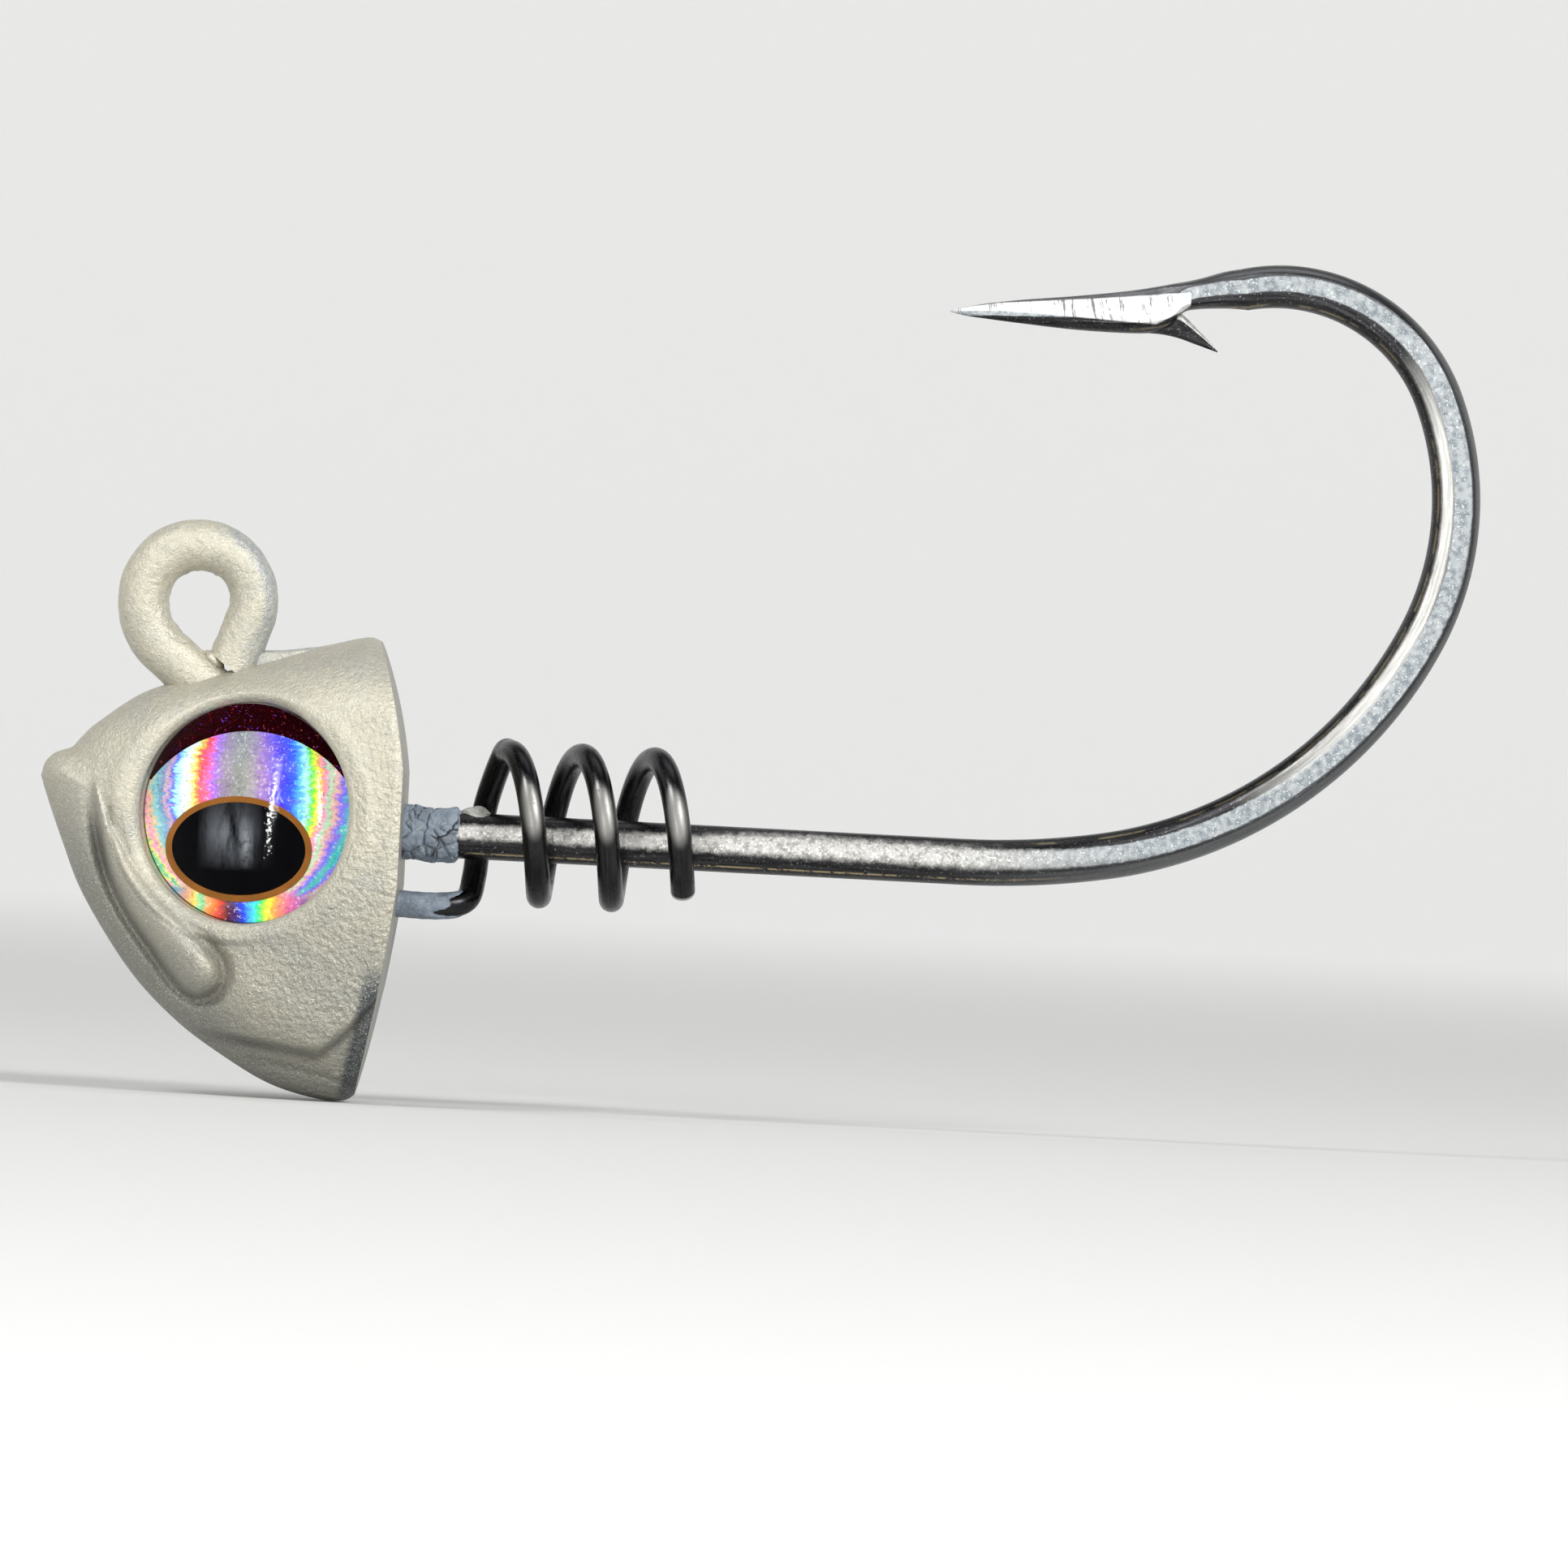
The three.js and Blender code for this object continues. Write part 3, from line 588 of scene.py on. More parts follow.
def clear_dome(name):
    """Clear epoxy: a gloss by Fresnel on its outer skin over nothing at all, with two lines of
    painted highlight: white specks where the lamps would glint, and a little more gloss."""
    epoxy = Finish(name)
    # first and second: the two lines of painted highlight
    first = (epoxy.x - epoxy.z * 0.05).near(4.0, 0.32) * epoxy.z.near(-8.35, 2.5).root()
    bowed = (epoxy.z + 8.5) * (epoxy.z + 8.5) * 0.07
    second = (epoxy.x + bowed).near(5.53, 0.24) * epoxy.z.near(-8.4, 2.1).root()
    pits = epoxy.noise(9.0, 3.0, 0.7)
    # painted glints: white specks along those lines, which also get a little more gloss below
    painted_glints = (pits + (first + second) * 0.32).above(0.76, 0.03) * epoxy.attribute("skin")
    normal = epoxy.bump(pits * (first + second), 0.25, 0.02 * MM)
    clear = epoxy.node("ShaderNodeBsdfTransparent", {}, {})
    skin = epoxy.node("ShaderNodeBsdfAnisotropic", {}, {"Roughness": 0.05, "Normal": normal})
    grazing = (epoxy.node("ShaderNodeFresnel", {}, {"IOR": 1.42}) - 0.031).at_least(0.0)
    gloss = (grazing + (first + second) * 0.03) * epoxy.attribute("skin")
    coated = epoxy.node("ShaderNodeMixShader", {}, {0: gloss, 1: clear, 2: skin})
    glint_white = epoxy.node("ShaderNodeBsdfDiffuse", {}, {"Color": (0.95, 0.95, 0.95, 1.0)})
    return epoxy.finished(
        epoxy.node("ShaderNodeMixShader", {}, {0: painted_glints * 0.9, 1: coated, 2: glint_white}))


def adhesive_foam(name):
    """Pale foam tape with open pores."""
    foam = Finish(name)
    pores = foam.cells(9.0)
    base = foam.mix(pores.above(0.3, 0.2), (0.72, 0.71, 0.67), (0.86, 0.85, 0.82))
    return foam.finished(foam.surface(
        base_color=base, roughness=0.85, normal=foam.bump(pores, 0.5, 0.05 * MM)))


def studio_paper(name):
    """Pale matt paper that glows a little away from the middle."""
    paper = Finish(name)
    fibre = paper.noise(0.02, 3.0)
    pale = tone("floor")
    base = paper.mix(fibre * 0.12, pale, tuple(c * 0.95 for c in pale))
    away = (paper.x * paper.x + paper.y * paper.y).root()
    glow = paper.mix(away.above(500.0, 400.0), (0.0, 0.0, 0.0), (1.0, 1.0, 1.0))
    return paper.finished(paper.surface(
        base_color=base, roughness=0.9, emission_color=glow, emission_strength=0.36))


# ---- shape helpers

def smooth_line(points, steps):
    """A curve through given points, in even steps of its parameter."""
    points = np.array(points, float)
    ends = np.vstack([2 * points[0] - points[1], points, 2 * points[-1] - points[-2]])
    t = np.linspace(0, len(points) - 1, steps)
    i = np.minimum(t.astype(int), len(points) - 2)
    f = (t - i)[:, None]
    a, b, c, d = (ends[i + k] for k in range(4))
    return 0.5 * (2 * b + (c - a) * f + (2 * a - 5 * b + 4 * c - d) * f ** 2
                  + (3 * b - a - 3 * c + d) * f ** 3)


def evened(line, steps):
    """The same curve with its points at even distances."""
    lengths = np.r_[0, np.cumsum(np.linalg.norm(np.diff(line, axis=0), axis=1))]
    wanted = np.linspace(0, lengths[-1], steps)
    return np.stack([np.interp(wanted, lengths, line[:, k]) for k in range(line.shape[1])], 1)


def step_up(value, low, high):
    """0 at the low value, 1 at the high one, with a smooth step between."""
    t = np.clip((value - low) / (high - low), 0, 1)
    return t * t * (3 - 2 * t)


def grain(points, scale, seed=0.0):
    """Smooth noise at each point, from -1 to 1, the same on every run."""
    shifted = np.asarray(points) * scale + seed
    return np.array([noise.noise(Vector(p)) for p in shifted])


def tube_faces(rings, sides, capped=True):
    """Quads between neighbouring rings of points, and a polygon over each end."""
    i = np.arange(rings - 1)[:, None] * sides
    k = np.arange(sides)[None, :]
    n = (k + 1) % sides
    quads = np.stack([i + k, i + n, i + n + sides, i + k + sides], -1).reshape(-1, 4).tolist()
    if capped:
        quads.append(list(range(sides - 1, -1, -1)))
        quads.append(list(range((rings - 1) * sides, rings * sides)))
    return quads


def add_piece(name, points, faces, material, node, slot, attributes=None, sharp=35.0):
    """Makes a mesh from millimetres, dresses it and hands it to the frame."""
    mesh = bpy.data.meshes.new(name)
    mesh.from_pydata((np.asarray(points) * MM).tolist(), [], faces)
    mesh.validate()
    for key, values in (attributes or {}).items():
        layer = mesh.attributes.new(key, "FLOAT", "POINT")
        layer.data.foreach_set("value", np.asarray(values, np.float32))
    mesh.shade_smooth()
    mesh.set_sharp_from_angle(angle=math.radians(sharp))
    mesh.materials.append(material)
    piece = bpy.data.objects.new(name, mesh)
    bpy.context.scene.collection.objects.link(piece)
    if node:
        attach(piece, BODY)
        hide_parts(node)
    return piece


class Pen:
    """Draws a wire's centreline in the XZ plane with straights and arcs."""

    def __init__(self, x, z, heading):
        self.stations = [(x, z, heading)]

    def step(self, length, turn):
        x, z, heading = self.stations[-1]
        middle = math.radians(heading + turn / 2)
        self.stations.append((
            x + length * math.cos(middle), z + length * math.sin(middle), heading + turn))

    def go(self, length, pitch=0.25):
        steps = max(1, round(length / pitch))
        for _ in range(steps):
            self.step(length / steps, 0)
        return self

    def turn(self, radius, degrees, pitch=2.0):
        steps = max(1, round(abs(degrees) / pitch))
        each = degrees / steps
        chord = 2 * radius * math.sin(math.radians(abs(each)) / 2)
        for _ in range(steps):
            self.step(chord, each)
        return self

    @property
    def at(self):
        return self.stations[-1]


def wire_skin(stations, height, width, sides, clip=None, tilt=None):
    """Rings of points round a wire: half height in its plane, half width across it.
    clip flattens both sides at a half width, and tilt slants those flats."""
    stations = np.array(stations, float)
    count = len(stations)
    height, width = np.broadcast_to(height, count), np.broadcast_to(width, count)
    clip = np.broadcast_to(np.inf if clip is None else clip, count)
    tilt = np.broadcast_to(0.0 if tilt is None else tilt, count)
    angle = 2 * np.pi * (np.arange(sides) + 0.5) / sides
    up = height[:, None] * np.sin(angle)[None, :]
    across = width[:, None] * np.cos(angle)[None, :]
    limit = clip[:, None] + tilt[:, None] * up
    pressed = np.sign(across) * np.minimum(np.abs(across), np.maximum(limit, 0.01))
    heading = np.radians(stations[:, 2])[:, None]
    points = np.stack([
        stations[:, 0][:, None] - up * np.sin(heading),
        pressed,
        stations[:, 1][:, None] + up * np.cos(heading)], -1).reshape(-1, 3)
    run = np.r_[0, np.cumsum(np.hypot(np.diff(stations[:, 0]), np.diff(stations[:, 1])))]
    facts = {"along": np.repeat(run, sides), "rise": np.tile(np.sin(angle), count)}
    return points, tube_faces(count, sides), facts


# ---- the head's shape

CREST = [
    (-1.25, -1.32), (-1.9, -1.2), (-3.83, -1.72), (-6.33, -2.55), (-8.83, -3.2), (-10.83, -3.9),
    (-12.63, -5.2), (-13.23, -5.8), (-13.6, -6.24), (-13.95, -6.38), (-14.35, -6.56),
    (-14.68, -6.93), (-14.83, -7.45)]
JAW = [
    (-14.83, -7.45), (-14.58, -8.2), (-13.83, -10.1), (-12.83, -12.3), (-10.83, -15.2),
    (-8.83, -17.15), (-6.83, -18.5), (-4.83, -19.55), (-2.83, -20.05), (-1.83, -20.03),
    (-1.43, -19.8)]
RIDGE = [
    (-3.6, -8.0, 0.08), (-3.14, -9.5, 0.30), (-2.46, -11.1, 0.52), (-1.5, -12.5, 0.70),
    (-0.4, -13.7, 0.84), (0.45, -14.65, 0.94), (0.92, -15.15, 0.93)]
CHIN, JAW_BOW = (-1.43, -19.8), (-0.45, -15.6)
SHOULDER, CREST_END = (-0.3, -4.0), (-1.25, -1.32)
BROW_RADIUS, CREASE_RADIUS = 5.15, 5.35


def free_edge(head):
    """Outline from the crest's rear corner over the lip to the chin, measured from the back."""
    crest = evened(smooth_line(CREST, 400), 170)
    jaw = evened(smooth_line(JAW, 400), 190)[1:]
    return np.vstack([crest, jaw]) + (head.back, 0)


def bowed_line(start, middle, end, steps=60):
    """A curve from start to end that leans towards the middle point."""
    t = np.linspace(0, 1, steps)[:, None]
    return (1 - t) ** 2 * start + 2 * t * (1 - t) * middle + t ** 2 * end


def back_edge(head):
    """Outline from the chin up to the crest, with the flat land for the bait between."""
    chin, jaw_bow, shoulder, crest = (
        np.array((head.back + x, z)) for x, z in (CHIN, JAW_BOW, SHOULDER, CREST_END))
    land = np.array((head.back, -head.land_bottom))
    top = np.array((head.back, -head.land_top))
    flat = np.linspace(land, top, 30)[1:-1]
    return np.vstack([
        bowed_line(chin, jaw_bow, land)[1:], flat, bowed_line(top, shoulder, crest)[:-1]])


def distance_to(points, line):
    """Distance from each point to a line of many short segments."""
    nearest = np.full(len(points), np.inf)
    for a, b in zip(line[:-1], line[1:]):
        run = b - a
        offset = points - a
        along = np.clip(offset @ run / (run @ run), 0, 1)
        nearest = np.minimum(nearest, np.linalg.norm(offset - along[:, None] * run, axis=1))
    return nearest


def ridge_distance(points):
    """How far outside the ridge each point lies, its share of the ridge's half width, that
    half width, and how much it lies on the mouth's side."""
    gap = np.full(len(points), np.inf)
    share, half, mouth = np.zeros((3, len(points)))
    line = smooth_line(RIDGE, 60)
    for a, b in zip(line[:-1], line[1:]):
        run = (b - a)[:2]
        offset = points - a[:2]
        along = np.clip(offset @ run / (run @ run), 0, 1)
        offset = offset - along[:, None] * run
        length = np.linalg.norm(offset, axis=1)
        width = a[2] + along * (b[2] - a[2])
        here = length - width
        closer = here < gap
        gap[closer] = here[closer]
        share[closer] = (length / width)[closer]
        half[closer] = width[closer]
        side = offset @ np.array([-0.8, -0.6]) / np.maximum(length, 1e-6)
        mouth[closer] = side[closer]
    return gap, share, half, mouth


def gill_edge(x):
    """Height of the gill plate's lower edge, which sweeps up towards the back."""
    sweep = np.maximum(0, x - 5.9)
    return -17.2 - 0.13 * x + 0.75 * sweep + 0.18 * sweep ** 2


def relief(points, edge, back, head):
    """Half the head's thickness at places on its side, and how much painted shade each gets in the
    hollows.
    """
    x, z = points[:, 0], points[:, 1]
    border = distance_to(points, edge)
    wedge = head.cheek + math.tan(math.radians(head.yaw)) * (x - head.eye_x)
    belly = 1 - 0.003 * (z + head.eye_drop + 1.5) ** 2
    inset = 1 - np.minimum(1, border / head.border)
    rounding = np.sqrt(np.maximum(0, 1 - inset ** 2))
    gap, share, half, mouth = ridge_distance(points)
    swell = head.ridge * np.minimum(1, half / 0.8) * np.maximum(0, 1 - share ** 2.4)
    beside = 0.22 + 0.40 * step_up(x, 0.9, 1.7)
    outer = beside + (1 - beside) * step_up(mouth, -0.6, 0.4)
    groove = np.exp(-((gap - 0.16) / 0.30) ** 2) * outer * (0.30 + 0.70 * step_up(-z, 8.0, 10.5))
    radius = np.hypot(x - head.eye_x, z + head.eye_drop)
    angle = np.degrees(np.arctan2(z + head.eye_drop, x - head.eye_x))
    crease = np.exp(-((radius - CREASE_RADIUS) / 0.12) ** 2) * step_up(-angle, 60, 100)
    crease = crease * (angle < 0)
    brow = 0.10 * np.exp(-((radius - BROW_RADIUS) / 0.35) ** 2)
    under = gill_edge(x) - z
    recess = step_up(under, -0.06, 0.24) * np.minimum(1, border / 1.2)
    foot = np.exp(-((under - 0.30) / 0.22) ** 2) * np.minimum(1, border)
    fold_line = -18.45 - 0.13 * (x - 3.0) - 0.02 * (x - 3.0) ** 2
    fold = np.exp(-((z - fold_line) / 0.16) ** 2) * step_up(x, 2.0, 4.0)
    hem = 0.12 * (1 - step_up(distance_to(points, back), 0.0, 0.45)) ** 2
    shape = (swell - head.groove * groove - 0.07 * crease + brow) * rounding
    shape = shape - head.gill_step * recess - 0.10 * fold - hem
    # How much painted shade each place gets: in the groove (less of it low down), the crease, the
    # fold and under the gill plate's step
    shaded = 0.90 - 0.34 * step_up(-z, 10.5, 12.5) - 0.1 * step_up(-z, 14.6, 15.6)
    hollow = np.clip(shaded * groove + 0.35 * crease + 0.8 * foot + 0.4 * fold, 0, 1)
    return np.maximum(0, wedge * belly * rounding + shape), hollow


def socket_rings(head, eye, directions, surface):
    """Rings from the middle of the socket's floor up its wall and over its soft edge."""
    yaw = math.radians(head.yaw)
    across = np.array([math.cos(yaw), -math.sin(yaw), 0])
    outward = np.array([-math.sin(yaw), -math.cos(yaw), 0])
    centre = np.array([head.eye_x, -head.cheek, -head.eye_drop])
    flat = directions[:, :1] * across + directions[:, 1:] * np.array([0, 0, 1.0])
    wall = eye.diameter / 2 + 0.03
    rings = [centre + flat * radius - outward * eye.depth for radius in (0.4, wall - 0.15, wall)]
    rim_radius = wall + eye.bevel
    lift = np.zeros(len(directions))
    for _ in range(6):
        rim = centre + flat * rim_radius + outward * lift[:, None]
        lift = lift + (rim[:, 1] + surface(rim[:, [0, 2]])) / math.cos(yaw)
    depth = eye.bevel * 1.1
    rings.append(centre + flat * wall + outward * (lift - depth - 0.35)[:, None])
    for turn in np.linspace(0, 90, 9):
        out, up = 1 - math.cos(math.radians(turn)), math.sin(math.radians(turn))
        radius = wall + eye.bevel * out
        rings.append(centre + flat * radius + outward * (lift - depth * (1 - up))[:, None])
    return rings


def head_side(head, eye):
    """The head's near side as rings of points, from the socket's middle to the outline."""
    edge = free_edge(head)
    back = back_edge(head)
    outline = np.vstack([edge, back])
    centre = np.array([head.eye_x, -head.eye_drop])
    yaw = math.radians(head.yaw)
    directions = outline - centre
    directions = directions / (math.cos(yaw), 1)
    directions = directions / np.linalg.norm(directions, axis=1)[:, None]
    closed_back = np.vstack([edge[-1:], back, edge[:1]])

    def surface(places):
        return relief(places, edge, closed_back, head)[0]

    rings = socket_rings(head, eye, directions, surface)
    tones = [np.zeros((len(outline), 4)) for _ in rings]
    rim = rings[-1][:, [0, 2]]
    shares = 1 - (1 - np.linspace(0, 1, 78)[1:]) ** 1.35
    for share in shares:
        place = rim + (outline - rim) * share
        thickness, hollow = relief(place, edge, closed_back, head)
        border = distance_to(place, edge)
        if share == 1.0:
            thickness[:len(edge)] = 0
        else:
            pebbles = grain(np.c_[place[:, 0], thickness, place[:, 1]], 1.9)
            heavier = 0.4 + step_up(place[:, 0] - place[:, 1] * 0.6, 4, 14)
            near_edge = np.minimum(1, distance_to(place, outline) / 1.5)
            thickness = thickness + head.pebble * pebbles * heavier * near_edge
        rings.append(np.c_[place[:, 0], -thickness, place[:, 1]])
        # jaw: painted shade near the free outline, heavier low down
        low = step_up(-place[:, 1], 6.0, 12.0)
        jaw = (1 - step_up(border, 0.2, 2.6)) * (0.35 + 0.65 * low)
        grainy = step_up(place[:, 0] - place[:, 1] * 0.55, 6.5, 15.0)
        # rear: the rough edge along the lower back, darkened partly as painted shade
        rear = 1 - step_up(distance_to(place, back), 0.45, 0.85)
        rear = rear * step_up(-place[:, 1], 14.0, 15.8)
        tones.append(np.c_[hollow, jaw, grainy, rear])
    return rings, np.array(tones), len(edge)


class JIG_OT_head(bpy.types.Operator):
    """Casts the painted lead head in two mirrored halves with a flat back"""
    bl_idname = "jig.head"
    bl_label = "Head"

    def execute(self, context):
        scene = context.scene
        rings, tones, free = head_side(measured(scene.jig_head), measured(scene.jig_eye))
        count, sides = len(rings), len(rings[0])
        near = np.vstack(rings)
        far = near * (1, -1, 1)
        hub = rings[0].mean(axis=0, keepdims=True)
        points = np.vstack([near, hub, far, hub * (1, -1, 1)])
        per_side = len(near) + 1
        quads = np.array(tube_faces(count, sides, capped=False))
        faces = quads[:, ::-1].tolist() + (quads + per_side).tolist()
        for k in range(sides):
            n = (k + 1) % sides
            faces.append([len(near), n, k])
            faces.append([per_side + len(near), per_side + k, per_side + n])
        last = (count - 1) * sides
        share = np.linspace(-1, 1, 31)[1:-1]
        wall, before = [], None
        for k in [*range(free - 1, sides), 0]:
            x, y, z = near[last + k]
            inner = range(len(points) + len(wall), len(points) + len(wall) + len(share))
            wall.extend((x, y * -s, z) for s in share)
            row = [last + k, *inner, per_side + last + k]
            if before:
                faces.extend(
                    [a, d, c, b] for a, b, c, d in zip(before, row, row[1:], before[1:]))
            before = row
        points = np.vstack([points, np.array(wall)])
        side_tones = np.vstack([tones.reshape(-1, 4), np.zeros((1, 4))])
        # The flat back takes some of the jaw's painted shade and of the rear edge's darkening
        tones = np.vstack([side_tones, side_tones, np.tile((0.0, 0.45, 0.8, 0.3), (len(wall), 1))])
        facts = dict(zip(("hollow", "jaw", "grainy", "rear"), tones.T))
        head = add_piece("head_casting", points, faces, pearl_paint("pearl_paint"), "head",
                         "painted_lead", facts, sharp=50.0)
        weld(head)
        return {"FINISHED"}


def weld(piece):
    """Joins points that share a place, so that the skin is closed, and drops empty faces."""
    skin = bmesh.new()
    skin.from_mesh(piece.data)
    bmesh.ops.remove_doubles(skin, verts=skin.verts, dist=1e-7)
    bmesh.ops.dissolve_degenerate(skin, edges=skin.edges, dist=1e-8)
    bmesh.ops.recalc_face_normals(skin, faces=skin.faces)
    skin.to_mesh(piece.data)
    skin.free()


# ---- the hook

BEND = [(31.7, 10.4), (17.2, 53.9), (11.9, 48.4), (7.0, 81.3)]
POINT_EDGES = [
    (0.0, -0.86, 0.84), (0.07, -0.67, 0.81), (0.16, -0.34, 0.9), (0.205, -0.2, 1.08),
    (0.243, -0.1, 1.66), (0.3, 0.06, 1.93), (0.4, 0.3, 2.01), (0.57, 0.6, 1.98),
    (0.74, 0.85, 1.85), (0.865, 1.08, 1.73), (0.95, 1.3, 1.63), (1.0, 1.46, 1.50)]
BARB_EDGES = [
    (4.6, 1.3, 1.97), (3.4, 1.15, 1.98), (2.6, 1.06, 2.10), (1.8, 1.70, 2.34), (0.95, 2.52, 2.6)]
SHANK_START = 5.0
BRIDGE = [
    (-1.02, 0.66, -36), (-0.82, 0.48, -38), (-0.60, 0.30, -38), (-0.40, 0.13, -38),
    (-0.22, -0.01, -38)]
BRIDGE_HALVES = np.array([0.10, 0.28, 0.30, 0.24, 0.06])


def tie_pen(wire):
    """The line tie's ring, its leg and the neck, as far as the shank's start."""
    tail_angle = wire.leg_heading - 90 - wire.ring_turn
    angle = math.radians(tail_angle)
    heading = math.radians(tail_angle + 90)
    pen = Pen(
        wire.ring * math.cos(angle) - wire.tail * math.cos(heading),
        wire.ring * math.sin(angle) - wire.tail * math.sin(heading),
        tail_angle + 90)
    pen.go(wire.tail).turn(wire.ring, wire.ring_turn - wire.flare_turn)
    pen.turn(wire.flare, wire.flare_turn).go(wire.leg)
    pen.turn(wire.crook, -90 - wire.leg_heading)
    pen.go(pen.at[1] + wire.drop - wire.neck).turn(wire.neck, 90)
    pen.stations[0] = (*pen.stations[0][:2], wire.leg_heading + 90)
    return pen


def bend_pen(wire):
    """The bare wire's centreline, and how many of its stations are straight shank."""
    pen = Pen(SHANK_START, -wire.drop, 0.0)
    pen.go(wire.shank_end - SHANK_START, 0.399)
    bare = len(pen.stations)
    for radius, degrees in BEND:
        pen.turn(radius, degrees, 1.2)
    return pen, bare


class JIG_OT_line_tie(bpy.types.Operator):
    """Bends the painted ring above the head, with the paint that bridges its tail"""
    bl_idname = "jig.line_tie"
    bl_label = "Line tie"

    def execute(self, context):
        wire = measured(context.scene.jig_wire)
        pen = tie_pen(wire)
        stations = np.array(pen.stations)
        sides = 72
        thin = 0.8 * step_up(stations[:, 0], 0.4, 1.6)
        radius = wire.diameter / 2 + wire.coat * (1 - thin)
        points, faces, facts = wire_skin(stations, radius, radius, sides)
        middles = np.c_[stations[:, 0], np.zeros(len(stations)), stations[:, 1]]
        centre = np.repeat(middles, sides, axis=0)
        outward = (points - centre) / np.repeat(radius, sides)[:, None]
        lumps = 0.035 * grain(points, 0.9) + 0.014 * grain(points, 3.1, 7.0)
        inner = np.clip(-np.einsum("ij,ij->i", outward, centre) / wire.ring, 0, 1)
        drips = 0.10 * inner ** 3 * np.clip(grain(points, 3.4, 3.0) - 0.15, 0, 1)
        points = points + outward * (lumps + drips)[:, None]
        points[:, 0] += 0.11 * step_up(points[:, 0], 0.3, 2.0)
        paint = pearl_paint("pearl_paint_ring", overspray=True)
        add_piece("line_tie", points, faces, paint, "hook", "painted_lead", facts)
        bridge = np.array(BRIDGE) + (*pen.stations[0][:2], 0)
        skin, quads, more = wire_skin(bridge, BRIDGE_HALVES, BRIDGE_HALVES * 2.4, 24)
        add_piece("tie_paint_bridge", skin, quads, paint, "hook", "painted_lead", more)
        return {"FINISHED"}


# Where the bright strip runs along the wire: a painted highlight on the round shank, the forged
# flat on the bend
STRIP = [
    (0.0, 0.16, 0.29), (9.0, 0.16, 0.29), (15.5, 0.18, 0.33), (19.0, 0.28, 0.44),
    (26.0, 0.20, 0.42), (33.0, 0.02, 0.36), (40.0, -0.08, 0.36), (51.0, -0.30, 0.38),
    (60.0, -0.22, 0.36), (66.0, -0.12, 0.32), (72.0, -0.05, 0.22), (90.0, 0.0, 0.2)]
# Where the painted highlight on the inside of the bend lies along the wire
INNER_BAND = [(0.0, 0.0), (38.0, 0.0), (44.0, 1.0), (57.0, 1.0), (61.0, 0.0), (90.0, 0.0)]
FACET_TOP = [(29.9, 13.32), (31.8, 13.72), (36.0, 14.12), (39.62, 14.52)]
FACET_FOOT = [
    (29.9, 13.30), (32.0, 13.42), (35.0, 13.33), (38.3, 13.18), (39.3, 13.72), (39.65, 14.0)]
FACET_START, FACET_REAR = 42.4, 39.66


def blade_stations(end, edges, heading=180.0):
    """Stations and half heights between two edges, given as distances from the bend's end."""
    middle = (edges[:, 1] + edges[:, 2]) / 2
    headings = np.broadcast_to(heading, len(edges))
    return np.c_[end[0] - edges[:, 0], end[1] - middle, headings], (edges[:, 2] - edges[:, 1]) / 2


def steel_facts(points, facts, height, shank_length):
    """Where the bright strip, the inner band and the ground facet lie on the wire's skin. The
    inner band, and the strip on the round shank, are painted highlights.
    """
    along = facts["along"]
    lift = facts["rise"] * height
    strip = np.array(STRIP)
    centre = np.interp(along, strip[:, 0], strip[:, 1])
    half = np.interp(along, strip[:, 0], strip[:, 2])
    facing = np.abs(np.cos(np.arcsin(np.clip(facts["rise"], -1, 1))))
    top = np.interp(points[:, 0], *np.array(FACET_TOP).T)
    foot = np.interp(points[:, 0], *np.array(FACET_FOOT).T)
    inside = np.minimum(top - points[:, 2], points[:, 2] - foot)
    reached = shank_length + FACET_START
    on_point = step_up(along, reached, reached + 1.0) * (points[:, 0] < FACET_REAR)
    facts["lift"] = lift
    facts["strip"] = (lift - centre) / half
    facts["forged"] = step_up(along, shank_length - 2.0, shank_length + 8.0)
    facts["inner"] = np.interp(along, *np.array(INNER_BAND).T) * facing
    facts["facet"] = step_up(inside, -0.03, 0.03) * on_point
    return facts


